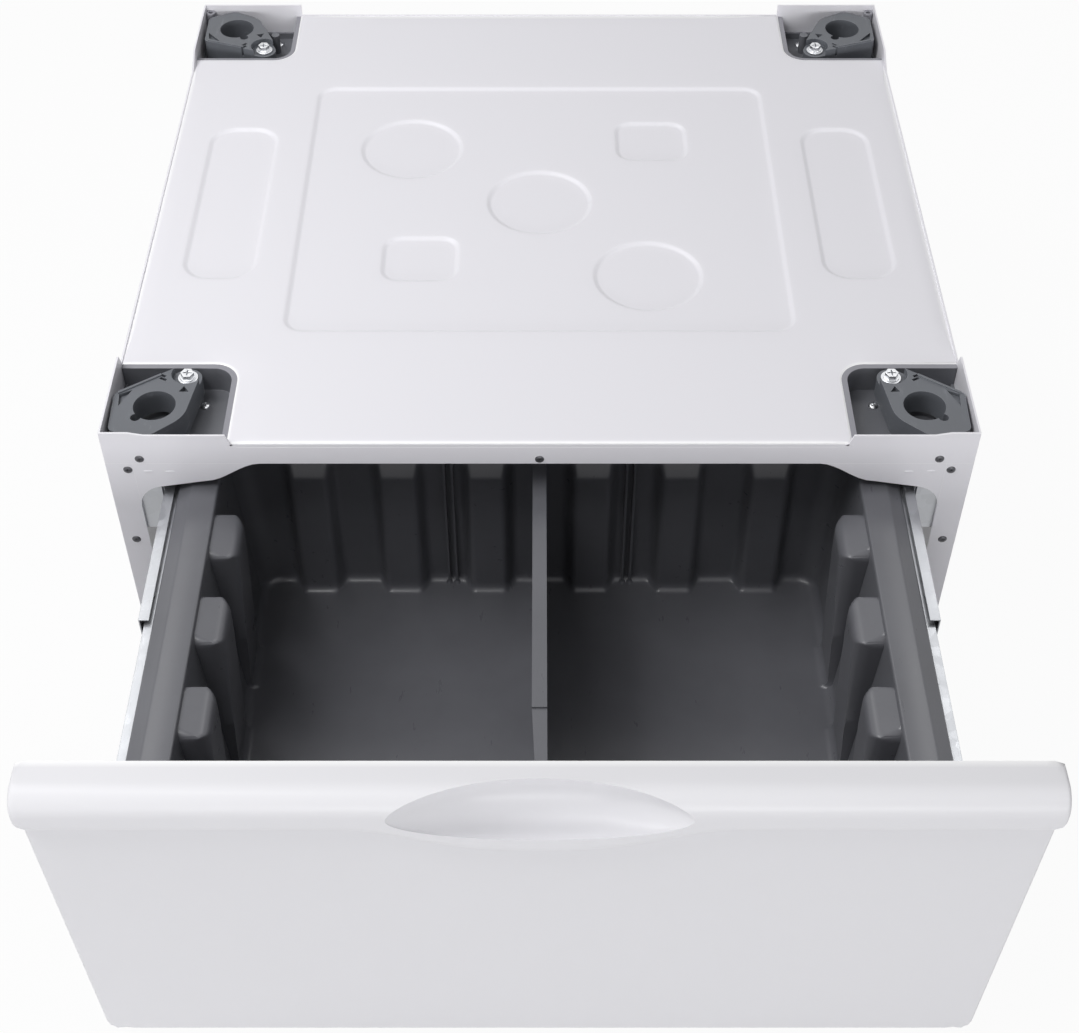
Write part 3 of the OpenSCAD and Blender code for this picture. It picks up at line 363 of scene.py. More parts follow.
def box_ring(centre, width, length, radius, grow, step):
    """Points along a rectangle with round corners, grown by the given amount."""
    w, l, r = width / 2 + grow, length / 2 + grow, max(radius + grow, 0.3)
    out = []
    for i, (sx, sy) in enumerate([(1, 1), (-1, 1), (-1, -1), (1, -1)]):
        a0 = math.pi / 2 * i
        n = max(4, int(r * math.pi / 2 / step))
        for k in range(n + 1):
            a = a0 + math.pi / 2 * k / n
            out.append((centre[0] + sx * (w - r) + r * math.cos(a),
                        centre[1] + sy * (l - r) + r * math.sin(a)))
        nxt = [(-(w - r), l), (-w, -(l - r)), (w - r, -l), (w, l - r)][i]
        p = np.array(out[-1])
        q = np.array([centre[0] + nxt[0], centre[1] + nxt[1]])
        m = int(np.linalg.norm(q - p) / (step * 2))
        out += [tuple(p + (q - p) * k / (m + 1)) for k in range(1, m + 1)]
    return out


def soft_step(distance, width):
    """1 inside a shape and 0 outside, eased over the width of a pressed shoulder."""
    t = np.clip(0.5 - distance / width, 0, 1)
    return t * t * (3 - 2 * t)


def flat_mesh(outline, rings, points, keep_off=1.5):
    """Triangles that fill an outline and follow rings, with loose points in between."""
    verts = [tuple(p) for p in outline]
    edges = []
    for ring, closed in rings:
        start = len(verts)
        verts += [tuple(p) for p in ring]
        n = len(ring)
        edges += [(start + k, start + (k + 1) % n) for k in range(n if closed else n - 1)]
    if len(points):
        taken = np.array(verts)
        loose = np.array(points, float)
        keep = np.ones(len(loose), bool)
        for k in range(0, len(loose), 400):
            d = np.abs(loose[k:k + 400, None, :] - taken[None, :, :]).max(2).min(1)
            keep[k:k + 400] = d > keep_off
        verts += [tuple(p) for p in loose[keep]]
    made = delaunay_2d_cdt([Vector(v) for v in verts], edges, [list(range(len(outline)))], 1, 1e-5)
    return np.array([tuple(v) for v in made[0]]), [tuple(f) for f in made[2]]


def slab(name, flat, faces, upper, lower):
    """Closed mesh between two surfaces over the same flat triangles."""
    n = len(flat)
    area = sum((flat[f[1]][0] - flat[f[0]][0]) * (flat[f[2]][1] - flat[f[0]][1])
               - (flat[f[2]][0] - flat[f[0]][0]) * (flat[f[1]][1] - flat[f[0]][1]) for f in faces)
    if area < 0:
        faces = [f[::-1] for f in faces]
    used = {}
    for f in faces:
        for a, b in zip(f, f[1:] + f[:1]):
            used[(a, b)] = used.get((a, b), 0) + 1
    rim = [(a, b) for a, b in used if (b, a) not in used]
    verts = np.vstack([upper, lower]) * MM
    mesh = bpy.data.meshes.new(name)
    mesh.from_pydata(verts.tolist(), [], list(faces) + [tuple(i + n for i in f[::-1]) for f in faces]
                     + [(b, a, a + n, b + n) for a, b in rim])
    shape = bmesh.new()
    shape.from_mesh(mesh)
    bmesh.ops.recalc_face_normals(shape, faces=shape.faces)
    shape.to_mesh(mesh)
    shape.free()
    return mesh


half_w, half_d = 334.5, front_y - sheet_t
press_d, press_w = 2.0, 5.6  # depth of each pressing, and width of its shoulder
side_ends, end_half = (-210, 220), 216  # stretches of the sides and ends that are folded down
fold_h, fold_middle = 9.6, 7.2  # height of those folds, and how far down their middle is
cut_x, cut_front, cut_rear, cut_round = 240, 218, 228, 20
presses = [((0, 0), 418, 355, 15)] + [((s * 272, 0), 60, 219, 22) for s in (-1, 1)]
dishes = [((-117, 81), 90, 90, 45), ((0, 0), 90, 90, 45), ((92, -104), 90, 90, 45),
          ((103, 93), 63, 58, 14), ((-102, -81), 63, 58, 14)]
corners = [(sx, sy, cut_front if sy < 0 else cut_rear) for sx, sy in ((1, -1), (1, 1), (-1, 1), (-1, -1))]


def cut_line(sx, sy, cut_y, away, short):
    """Edge of a corner cut-out, moved into the sheet by away and cut short at both ends."""
    r = cut_round + away
    arc = [(sx * (cut_x + cut_round - r * math.cos(a)), sy * (cut_y + cut_round - r * math.sin(a)))
           for a in np.linspace(0, math.pi / 2, 11)]
    ends = (sx * (cut_x - away), sy * (half_d - short)), (sx * (half_w - short), sy * (cut_y - away))
    return [ends[0]] + arc + [ends[1]]


edge_line = []
for quarter, corner in enumerate(corners):
    part = cut_line(*corner, 0, 0)
    edge_line += part if quarter % 2 == 0 else part[::-1]
edge_line += [(-bend_x0, -half_d), (-bend_x0, -front_y), (bend_x0, -front_y), (bend_x0, -half_d)]

rings = []
for shape in presses + dishes:
    for grow in (-3.2, -2.1, -1.2, -0.4, 0.4, 1.2, 2.1, 3.2):
        rings.append((box_ring(*shape, grow, 4.0), True))
rings += [(cut_line(*corner, away, 0.5), False) for corner in corners for away in (0.5, 1.1, 1.8, 2.6)]
for fall in (0.15, 0.55, 1.1, 1.9, 2.8, 4.0):
    rings.append(([(x, fall - front_y) for x in np.linspace(0.3 - bend_x0, bend_x0 - 0.3, 60)], False))
gx, gy = np.meshgrid(np.arange(-330, 331, 11.0), np.arange(-303, 306, 11.0))
inside = np.ones(gx.shape, bool)
for sy, cut_y in ((-1, cut_front), (1, cut_rear)):
    inside &= ~((np.abs(gx) > cut_x - 3) & (sy * gy > cut_y - 3))
flat, faces = flat_mesh(edge_line, rings, np.column_stack([gx[inside], gy[inside]]), 2.2)
x, y = flat[:, 0], flat[:, 1]
field = np.min([box_distance(x, y, *s) for s in presses], 0)
dish = np.min([box_distance(x, y, *s) for s in dishes], 0)
height = -press_d * soft_step(field, press_w) - press_d * soft_step(dish, press_w)
cups = [box_distance(x, y, (sx * (cut_x + 60), sy * (cut_y + 60)), 120, 120, cut_round)
        for sx, sy, cut_y in corners]
height -= 0.7 * soft_step(np.minimum(cups[0], cups[3]) - 13, 8)
height -= 0.9 * (1 - np.clip(np.min(cups, 0) / 2.6, 0, 1)) ** 2
back = np.clip(y + front_y, 0, bend_r)
height -= bend_share(x) * (bend_r - np.sqrt(bend_r ** 2 - (bend_r - back) ** 2))
upper = np.column_stack([x, y, top_z + height])
lower_y = np.maximum(y, bend_share(x) * sheet_t * (back < 0.01) - front_y)
lower = np.column_stack([x, lower_y, top_z + height - sheet_t])
top = new_piece("top_sheet", slab("top_sheet", flat, faces, upper, lower))
bm = bmesh.new()
bm.from_mesh(top.data)
inner_w, inner_d = half_w - sheet_t, half_d - sheet_t
for xs, ys in (((-half_w, -inner_w), side_ends), ((inner_w, half_w), side_ends),
               ((-end_half, end_half), (-half_d, -inner_d)), ((-end_half, end_half), (inner_d, half_d))):
    bmesh.ops.create_cube(bm, size=1.0, matrix=Matrix.Translation(
        (sum(xs) / 2 * MM, sum(ys) / 2 * MM, (top_z - fold_middle) * MM)) @ Matrix.Diagonal(
        ((xs[1] - xs[0]) * MM, (ys[1] - ys[0]) * MM, fold_h * MM, 1)))
bm.to_mesh(top.data)
bm.free()
# Painted highlight: the cut-out edges round the cups and the bend along the front are marked to be painted
# near white.
painted_highlight = np.clip(1.3 - np.min(cups, 0) / 2.0, 0, 1)
painted_highlight = np.maximum(painted_highlight, (np.abs(x) < bend_x0) * np.clip(1.6 - np.abs(y + front_y - 1.7), 0, 1))


def mark_highlight_edges(mesh, values):
    """Writes how far each point lies on an edge of the piece, where its finish paints a highlight."""
    every = np.zeros(len(mesh.vertices))
    every[:len(values)] = values
    mesh.attributes.new("edge", "FLOAT", "POINT").data.foreach_set("value", every)


mark_highlight_edges(top.data, painted_highlight)
shade(top.data, 35)
finish_piece(top, cabinet_white, "cabinet", "cabinet_white", "top_panel")

# -------------------- foot cups
# Four dark cups of moulded plastic stand in the corners of the top and take the
# feet of the machine. They are screwed through their floors to the trays below.


def moulded(name, colour, shine, dust_wear_and_highlight_colour, grain=0.6, edge_wear_and_highlight=0.12, dust=0.0, rim=0.0):
    """Moulded plastic: fine grain, faint clouds, paler edges for wear and painted highlight, and if asked
    dust and a painted highlight on the rim above a height.
    """
    plastic = Finish(name)
    skin = plastic.noise(grain, detail=2.5)
    cloud = plastic.noise(60, detail=4, rough=0.6)
    scuff = plastic.spread(plastic.noise(9, scale=(1, 0.25, 1), detail=5, rough=0.65), 0.58, 0.75)
    tone = plastic.mix(cloud, [c * 0.86 for c in colour], [c * 1.14 for c in colour])
    # Paler edges: wear on most pieces, and a painted highlight where the share is large, as on the lock.
    tone = plastic.mix(plastic.edges() * edge_wear_and_highlight, tone, dust_wear_and_highlight_colour)
    # Painted highlight: everything above the given height, the rim of a cup, is painted pale.
    if rim:
        tone = plastic.mix(plastic.spread(plastic.height(), rim - 0.0006, rim), tone, dust_wear_and_highlight_colour)
    return plastic.done(
        Base_Color=plastic.mix(scuff * dust, tone, dust_wear_and_highlight_colour),
        Roughness=shine + 0.10 * cloud - 0.06 * scuff,
        IOR=1.48, Normal=plastic.bump(skin, 0.02, 0.7))


# The pale band on the cups' rims above 368.3 mm is a painted highlight.
cup_grey = moulded("cup plastic", (0.165, 0.170, 0.188), 0.44, (0.27, 0.27, 0.30), dust=0.1, rim=0.3683)
for corner in corner_names:
    rounded("foot_cup_" + corner, 0.6, cup_grey)

# -------------------- foot locks
# A grey moulded lever swings round a bolt in each cup; its ring closes round the
# foot of the machine. Ribs and pockets keep the thick moulding even.

# The lock's edges are painted strongly pale: wear, and a painted highlight on the chamfers round the bore and
# notch.
lock_grey = moulded("lock plastic", (0.122, 0.130, 0.146), 0.40, (0.34, 0.35, 0.38),
                    grain=0.8, edge_wear_and_highlight=0.55, dust=0.25)
for corner in corner_names:
    rounded("foot_lock_" + corner, 1.1, lock_grey, segments=3)

# -------------------- bolts and screws
# Zinc-plated bolts clamp the locks, small zinc screws hold the cups and the drawer
# front, and black pan-head screws with a cross recess hold the folded sheets.


def plated(name, colour, shine, metal=1.0):
    """Plated steel: fine drawn lines, faint clouds and brighter edges."""
    zinc = Finish(name)
    cloud = zinc.noise(5, detail=4)
    line = zinc.noise(0.35, scale=(1, 1, 0.12), detail=2)
    tone = zinc.mix(cloud, [c * 0.9 for c in colour], [min(1, c * 1.08) for c in colour])
    return zinc.done(
        Base_Color=zinc.mix(zinc.edges() * 0.3, tone, [min(1, c * 1.25) for c in colour]),
        Metallic=metal, Roughness=shine + 0.12 * cloud, Normal=zinc.bump(line, 0.006, 0.5))


class Pattern(Tree):
    """A Geometry Nodes tree with named sizes in millimetres, run on a mesh of places."""

    def __init__(self, name, *sizes):
        super().__init__(bpy.data.node_groups.new(name, "GeometryNodeTree"))
        face = self.tree.interface
        face.new_socket("Places", in_out="INPUT", socket_type="NodeSocketGeometry")
        face.new_socket("Finish", in_out="INPUT", socket_type="NodeSocketMaterial")
        for size in sizes:
            face.new_socket(size, in_out="INPUT", socket_type="NodeSocketFloat")
        face.new_socket("Piece", in_out="OUTPUT", socket_type="NodeSocketGeometry")
        self.given = self.tree.nodes.new("NodeGroupInput")

    def __getitem__(self, name):
        given = Wire(self, self.given.outputs[name])
        return given if name in ("Places", "Finish") else given * MM

    def xyz(self, x, y, z):
        return self.node("ShaderNodeCombineXYZ", {}, {"X": x, "Y": y, "Z": z})

    def moved(self, shape, place):
        return self.node("GeometryNodeTransform", {}, {"Geometry": shape, "Translation": place})

    def joined(self, *shapes):
        return self.node("GeometryNodeJoinGeometry", {}, {"Geometry": list(shapes)})

    def close(self, shape):
        """Ends the tree: the copies become real, and get their finish."""
        real = self.node("GeometryNodeRealizeInstances", {}, {"Geometry": shape})
        painted = self.node("GeometryNodeSetMaterial", {}, {"Geometry": real, "Material": self["Finish"]})
        self.node("NodeGroupOutput", {}, {0: painted})
        return self

    def run(self, name, places, material, angle, **sizes):
        mesh = bpy.data.meshes.new(name)
        mesh.from_pydata([tuple(p) for p in places], [], [])
        piece = new_piece(name, mesh)
        modifier = piece.modifiers.new("pattern", "NODES")
        modifier.node_group = self.tree
        for socket in self.tree.interface.items_tree:
            if socket.name in sizes:
                modifier[socket.identifier] = float(sizes[socket.name])
            elif socket.name == "Finish":
                modifier[socket.identifier] = material
        settle(piece)
        shade(piece.data, angle)
        return piece


screw = Pattern("pan-head screw", "head_r", "head_h", "shank_r", "shank_l", "slot", "tilt")
dome = screw.node("GeometryNodeMeshUVSphere", {}, {"Segments": 20, "Rings": 12, "Radius": 1.0})
dome = screw.node("GeometryNodeTransform", {}, {
    "Geometry": dome, "Scale": screw.xyz(screw["head_r"], screw["head_r"], screw["head_h"])})
below = screw.node("GeometryNodeMeshCube", {}, {"Size": screw.xyz(
    screw["head_r"] * 3, screw["head_r"] * 3, screw["head_h"] * 2)})
below = screw.moved(below, screw.xyz(0.0, 0.0, 0 - screw["head_h"]))
bars = [screw.moved(screw.node("GeometryNodeMeshCube", {}, {"Size": screw.xyz(a, b, screw["head_h"])}),
                    screw.xyz(0.0, 0.0, screw["head_h"]))
        for a, b in ((screw["head_r"] * 1.15, screw["slot"]), (screw["slot"], screw["head_r"] * 1.15))]
head = screw.node("GeometryNodeMeshBoolean", {"operation": "DIFFERENCE"}, {
    "Mesh 1": dome, "Mesh 2": [below, *bars]})
shank = screw.node("GeometryNodeMeshCylinder", {}, {
    "Vertices": 12, "Radius": screw["shank_r"], "Depth": screw["shank_l"]}, "Mesh")
shank = screw.moved(shank, screw.xyz(0.0, 0.0, screw["shank_l"] * -0.5))
ridge = screw.node("GeometryNodeCurveToMesh", {}, {
    "Curve": screw.node("GeometryNodeCurveSpiral", {}, {
        "Resolution": 12, "Rotations": screw["shank_l"] / MM, "Start Radius": screw["shank_r"],
        "End Radius": screw["shank_r"], "Height": screw["shank_l"] * -0.94}),
    "Profile Curve": screw.node("GeometryNodeCurvePrimitiveCircle", {"mode": "RADIUS"}, {
        "Resolution": 4, "Radius": screw["shank_r"] * 0.12}, "Curve")})
copies = screw.node("GeometryNodeInstanceOnPoints", {}, {
    "Points": screw["Places"], "Instance": screw.joined(head, shank, ridge),
    "Rotation": screw.node("FunctionNodeEulerToRotation", {}, {
        "Euler": screw.xyz(screw["tilt"] / MM, 0.0, 0.0)})})
turned = screw.node("FunctionNodeRandomValue", {"data_type": "FLOAT"}, {
    "Min": 0.0, "Max": 3.14, "Seed": 5}, "Value")
screw.close(screw.node("GeometryNodeRotateInstances", {}, {
    "Instances": copies, "Rotation": screw.node("FunctionNodeEulerToRotation", {}, {
        "Euler": screw.xyz(0.0, 0.0, turned)}), "Local Space": True}))


def loose_parts(node):
    """Lowest and highest corner of each solid of a CAD node."""
    shape = bmesh.new()
    shape.from_mesh(frame["nodes"][node].data)
    bmesh.ops.remove_doubles(shape, verts=shape.verts, dist=3e-6)
    left, out = set(shape.verts), []
    while left:
        group, todo = [], [left.pop()]
        while todo:
            vert = todo.pop()
            group.append(tuple(vert.co))
            for other in [e.other_vert(vert) for e in vert.link_edges]:
                if other in left:
                    left.remove(other)
                    todo.append(other)
        out.append((Vector(map(min, zip(*group))), Vector(map(max, zip(*group)))))
    shape.free()
    return sorted(out, key=lambda box: [round(v, 6) for v in box[0]])


def screws(node, material, direction, head_h, shank_r, slot):
    """Screws for a CAD node whose heads point in the direction +Z, -Y or +Y."""
    boxes = loose_parts(node)
    axis = 2 if direction == "+Z" else 1
    size = boxes[0][1] - boxes[0][0]
    head_r = size[(axis + 1) % 3] / 2 / MM
    places = []
    for low, high in boxes:
        place = (low + high) / 2
        place[axis] = low[axis] + head_h * MM if direction == "-Y" else high[axis] - head_h * MM
        places.append(place)
    piece = screw.run(node + "_detail", places, material, 35, head_r=head_r, head_h=head_h, shank_r=shank_r,
                      shank_l=size[axis] / MM - head_h, slot=slot,
                      tilt={"+Z": 0, "-Y": math.pi / 2, "+Y": -math.pi / 2}[direction])
    return finish_piece(piece, material, body_with(node), slot_with(node), node)


zinc_plate = plated("zinc plate", (0.70, 0.71, 0.73), 0.26)
for node in ("clamp_bolts", "clamp_nuts", "foot_nuts"):
    rounded(node, 0.25, zinc_plate)
screws("cup_screws", zinc_plate, "+Z", 2.2, 2.2, 1.1)
screws("drawer_screws", zinc_plate, "+Y", 2.4, 1.9, 1.2)
black_oxide = plated("black oxide", (0.10, 0.10, 0.11), 0.34, metal=0.5)
screws("frame_screws", black_oxide, "-Y", 1.2, 1.9, 0.9)
screws("back_screws", black_oxide, "+Y", 1.2, 1.9, 0.9)

emboss = Pattern("pressed mark", "length", "height", "rise")
mark = emboss.node("GeometryNodeTransform", {}, {
    "Geometry": emboss.node("GeometryNodeMeshUVSphere", {}, {"Segments": 20, "Rings": 10, "Radius": 0.5}),
    "Scale": emboss.xyz(emboss["length"], emboss["rise"] * 2, emboss["height"])})
emboss.close(emboss.node("GeometryNodeInstanceOnPoints", {}, {"Points": emboss["Places"], "Instance": mark}))
marks = [(s * x * MM, -front_y * MM, (top_z - down) * MM)
         for s in (-1, 1) for x, down in ((304, 29.6), (287, 30))]
finish_piece(emboss.run("pressed_marks", marks, cabinet_white, 60, length=7.5, height=2.4, rise=0.5),
             cabinet_white, "cabinet", "cabinet_white")

# -------------------- levelling feet
# Black rubber pads on threaded stems, with a hexagon for the spanner. The thread is
# rolled into the stem.

foot_rubber = moulded("foot rubber", (0.024, 0.024, 0.027), 0.62, (0.12, 0.12, 0.12), grain=0.9, edge_wear_and_highlight=0.1)
thread = Pattern("rolled thread", "stem_r", "length", "pitch", "depth")
ridge = thread.node("GeometryNodeCurveToMesh", {}, {
    "Curve": thread.node("GeometryNodeCurveSpiral", {}, {
        "Resolution": 16, "Rotations": thread["length"] / thread["pitch"], "Start Radius": thread["stem_r"],
        "End Radius": thread["stem_r"], "Height": thread["length"]}),
    "Profile Curve": thread.node("GeometryNodeCurvePrimitiveCircle", {"mode": "RADIUS"}, {
        "Resolution": 4, "Radius": thread["depth"]}, "Curve")})
thread.close(thread.node("GeometryNodeInstanceOnPoints", {}, {"Points": thread["Places"], "Instance": ridge}))
for corner in corner_names:
    node = "levelling_foot_" + corner
    rounded(node, 0.6, foot_rubber)
    low, high = [Vector(c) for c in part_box(node)]
    foot = Vector(((low.x + high.x) / 2, (low.y + high.y) / 2, low.z + 19 * MM))
    coil = thread.run("thread_" + corner, [foot], foot_rubber, 50,
                      stem_r=4.75, length=33, pitch=1.5, depth=0.3)
    finish_piece(coil, foot_rubber, body_with(node), slot_with(node))

# -------------------- slides
# Ball slides of zinc-plated steel strip: a cabinet member, a middle member and a
# drawer member on each side, with two thin cages of balls between them.


def galvanised(name, colour, shine):
    """Zinc-coated strip: a flaked pattern, faint clouds and a fine grain."""
    steel = Finish(name)
    flake = steel.node("ShaderNodeTexVoronoi", {}, {
        "Vector": steel.where(), "Scale": 130.0}, "Color")
    grey = steel.node("ShaderNodeRGBToBW", {}, {"Color": flake})
    cloud = steel.noise(40, detail=3)
    tone = steel.mix(grey, [c * 0.88 for c in colour], [min(1, c * 1.1) for c in colour])
    return steel.done(
        Base_Color=steel.mix(cloud * 0.3, tone, [c * 0.92 for c in colour]),
        Metallic=1.0, Roughness=shine + 0.16 * grey, Normal=steel.bump(steel.noise(0.8), 0.008, 0.5))


slide_steel = galvanised("zinc-plated strip", (0.44, 0.45, 0.47), 0.33)
for side in ("left", "right"):
    for node in ("slide_bracket_", "slide_cabinet_", "ball_cage_outer_", "slide_middle_",
                 "ball_cage_inner_", "slide_drawer_"):
        rounded(node + side, 0.25, slide_steel, segments=1)
for corner in corner_names:
    rounded("foot_bracket_" + corner, 0.4, slide_steel)

# -------------------- drawer front
# One moulding in semi-gloss white plastic: a rolled top edge, a brow with a long
# finger scoop, and a flat face that leans in towards its foot.

front_white = powder_coat("white front plastic", (0.770, 0.767, 0.795), 0.30, gloss=0.15)

back_y, crest_z, roll, brow_y, half_front = -603.3, 365.5, 18.0, -637.1, 343.0
brow_z, dip_half, dip_h, brow_end = 332, 130, 24, 9  # lower edge of the brow, its dip, its round ends
face_y0, face_lean, foot_z, foot_r = -625.6, 8.3, 25, 6.0  # the face below the brow, and its foot
side_draw, side_z, side_r = 5, 340, 14  # how far the sides draw in, from where, and feet
brow_zone = 60  # length down the front that the brow ends within
roll_y, roll_z = brow_y + roll, crest_z - roll
low_r, fillet, ledge = 6.0, 2.6, 3.0
arc_l, low_l, fillet_l = roll * math.pi / 2, low_r * math.pi / 2, fillet * math.pi / 2
face_k = arc_l + roll_z - low_r + low_l + ledge + fillet_l - fillet
v4 = face_k - foot_z - foot_r  # where the face ends and its foot begins


def brow_low(x):
    """Height of the brow's lower edge: a broad dip in the middle, rounded at the ends."""
    s = np.clip(np.abs(x) / dip_half, 0, 1)
    dip = dip_h * (1 + np.cos(np.pi * s ** 1.4)) / 2
    end = np.clip(np.abs(x) - (half_front - brow_end), 0, brow_end - 0.4)
    return brow_z - dip + brow_end - np.sqrt(brow_end ** 2 - end ** 2)


def face_y(z):
    """Where the face lies at a height."""
    return face_y0 + face_lean * (brow_z - z) / (brow_z - foot_z - foot_r)


def front_half(z):
    """Half width of the front: the sides draw in below the brow and round off at the foot."""
    w, r = half_front - side_draw * np.clip((side_z - z) / (side_z - foot_z), 0, 1), side_r
    return w - r + np.sqrt(np.clip(r * r - np.clip(foot_z + r - z, 0, r) ** 2, 0, None))


def base_profile(x, v):
    """Place [y, z] of the front's surface at x, a length v down from the start of the roll."""
    x, v = np.broadcast_arrays(np.asarray(x, float), np.asarray(v, float))
    low = brow_low(x)
    v0 = arc_l + roll_z - (low + low_r)
    v1, v2 = v0 + low_l, v0 + low_l + ledge
    v3 = v2 + fillet_l
    v5 = v4 + foot_r * np.pi / 2
    y = np.where(v < 0, roll_y - v, 0.0)
    z = np.where(v < 0, crest_z, 0.0)
    def put(mask, yy, zz):
        nonlocal y, z
        y, z = np.where(mask, yy, y), np.where(mask, zz, z)
    a = np.clip(v, 0, arc_l) / roll
    put((v >= 0) & (v < arc_l), roll_y - roll * np.sin(a), roll_z + roll * np.cos(a))
    put((v >= arc_l) & (v < v0), brow_y, roll_z - (v - arc_l))
    a = np.clip(v - v0, 0, low_l) / low_r
    put((v >= v0) & (v < v1), brow_y + low_r - low_r * np.cos(a), low + low_r - low_r * np.sin(a))
    fy = face_y(low - fillet)
    ledge_y0, ledge_y1 = brow_y + low_r, fy - fillet
    put((v >= v1) & (v < v2), ledge_y0 + (ledge_y1 - ledge_y0) * np.clip((v - v1) / ledge, 0, 1), low)
    a = np.clip(v - v2, 0, fillet_l) / fillet
    put((v >= v2) & (v < v3), fy - fillet + fillet * np.sin(a), low - fillet + fillet * np.cos(a))
    zz = face_k - v
    put((v >= v3) & (v < v4), face_y(zz), zz)
    a = np.clip(v - v4, 0, foot_r * np.pi / 2) / foot_r
    foot_y = face_y(foot_z + foot_r) + foot_r
    put((v >= v4) & (v < v5), foot_y - foot_r * np.cos(a), foot_z + foot_r - foot_r * np.sin(a))
    put(v >= v5, foot_y + np.clip(v - v5, 0, back_y - foot_y), foot_z)
    return y, z


v_top = roll_y - back_y
v_end = v4 + foot_r * math.pi / 2 + (back_y - face_y(foot_z + foot_r) - foot_r)
scoop_end, scoop_half, scoop_r, scoop_depth = 100.4, 106.0, 23.0, 21.0
scoop_y, scoop_z = brow_y + 7.5, crest_z - 19.5
v_fine = np.linspace(v_top, brow_zone, 3000)
profile_y, profile_z = base_profile(0, v_fine)
away = np.hypot(profile_y - scoop_y, profile_z - scoop_z)


def scoop_limits(x):
    """Upper and lower limit, down the profile, of the scoop's mouth at x."""
    rho = scoop_r * np.sqrt(np.clip(1 - (x / scoop_half) ** 2, 0, 1))
    hit = np.where(away < rho)[0]
    if len(hit) < 2:
        middle = v_fine[np.argmin(away)]
        return middle, middle
    return v_fine[hit[0]], v_fine[hit[-1]]


turn = np.linspace(0, math.pi, 161)
limits = np.array([scoop_limits(scoop_end * math.cos(t)) for t in turn])
mouth = np.vstack([np.column_stack([scoop_end * np.cos(turn), limits[:, 0]]),
                   np.column_stack([scoop_end * np.cos(turn[::-1]), limits[::-1, 1]])[1:-1]])


def resample(loop, step):
    """The same closed loop with its points the given step apart."""
    closed = np.vstack([loop, loop[:1]])
    s = np.concatenate([[0], np.cumsum(np.hypot(*np.diff(closed, axis=0).T))])
    t = np.linspace(0, s[-1], int(s[-1] / step) + 1)[:-1]
    return np.column_stack([np.interp(t, s, closed[:, 0]), np.interp(t, s, closed[:, 1])])


mouth = resample(mouth, 2.2)
ahead = np.roll(mouth, -1, 0) - np.roll(mouth, 1, 0)
out_n = np.column_stack([ahead[:, 1], -ahead[:, 0]]) / np.hypot(*ahead.T)[:, None]
if np.sum(out_n * (mouth - mouth.mean(0))) < 0:
    out_n = -out_n
rings = [(mouth, True)] + [(mouth + out_n * g, True) for g in (-2.4, -1.5, -0.8, -0.35, 0.35, 0.8, 1.5, 2.4)]

v_rows = np.unique(np.concatenate([
    np.linspace(v_top, 0, 4), np.linspace(0, arc_l, 12), np.arange(arc_l, brow_zone, 3.0)]))
points = []
xs = np.arange(-336, 337, 6.0)
low_v = arc_l + roll_z - (brow_low(xs) + low_r)
for px, lv in zip(xs, low_v):
    own = [v for v in v_rows if v < lv - 1.5]
    own += [lv + d for d in (0, 1.6, 3.1, 4.7, 6.3, 7.9, low_l, low_l + 1.5, low_l + ledge)]
    own += [lv + low_l + ledge + d for d in (1.0, 2.0, 3.0, fillet_l)]
    v3 = lv + low_l + ledge + fillet_l
    own += list(np.linspace(v3 + 4, v4, 30)) + [v4 + d for d in (1.6, 3.2, 4.8, 6.4, 8.0, 9.4)] + [v_end - 3]
    points += [(px, v) for v in own
               if abs(px) < front_half(foot_z if v > v4 else min(side_z, face_k - v)) - 4]
v_side = np.unique(np.concatenate([v_rows, np.arange(brow_zone, v_end, 5.0), [v_end]]))
v_side = v_side[(v_side >= v_top) & (v_side <= v_end)]


def side_x(v):
    """Half width of the front a length v down from the start of the roll."""
    a = np.clip(v - v4, 0, foot_r * np.pi / 2) / foot_r
    z = np.where(v < brow_zone, crest_z, np.where(v < v4, face_k - v, foot_z + foot_r - foot_r * np.sin(a)))
    return front_half(z)


for d in (0.2, 0.6, 1.1, 1.7, 2.4, 3.2):
    points += [(s * (side_x(v) - d), v) for v in v_side[1:-1] for s in (-1, 1)]
outline = [(side_x(v), v) for v in v_side] + [(px, v_end) for px in xs[::-1] if abs(px) < side_x(v_end) - 2] \
    + [(-side_x(v), v) for v in v_side[::-1]] + [(px, v_top) for px in xs if abs(px) < half_front - 2]
flat, faces = flat_mesh(outline, rings, points, 0.12)

x, v = flat[:, 0], flat[:, 1]
y, z = base_profile(x, v)
y1, z1 = base_profile(x, v + 0.05)
y0, z0 = base_profile(x, v - 0.05)
slope = np.column_stack([y1 - y0, z1 - z0])
slope /= np.maximum(np.hypot(*slope.T), 1e-9)[:, None]
inward = np.column_stack([-slope[:, 1], slope[:, 0]])
edge_r = 3.2
d = np.clip(side_x(v) - np.abs(x), 0, edge_r)
sink = edge_r - np.sqrt(edge_r ** 2 - (edge_r - d) ** 2)
y, z = y + inward[:, 0] * sink, z + inward[:, 1] * sink
for i in np.where(np.abs(x) < scoop_end)[0]:
    a, b = scoop_limits(x[i])
    if a < v[i] < b:
        (ya, yb), (za, zb) = base_profile(x[i], np.array([a, b]))
        u = (v[i] - a) / (b - a)
        w = -math.cos(math.pi * u)
        half = math.hypot(yb - ya, zb - za) / 2
        nrm = np.array([-(zb - za), yb - ya]) / max(2 * half, 1e-6)
        depth = min(scoop_depth, half) * (1 - (x[i] / scoop_end) ** 2) ** 0.3 * math.sin(math.pi * u)
        y[i] = (ya + yb) / 2 + (yb - ya) / 2 * w + nrm[0] * depth
        z[i] = (za + zb) / 2 + (zb - za) / 2 * w + nrm[1] * depth

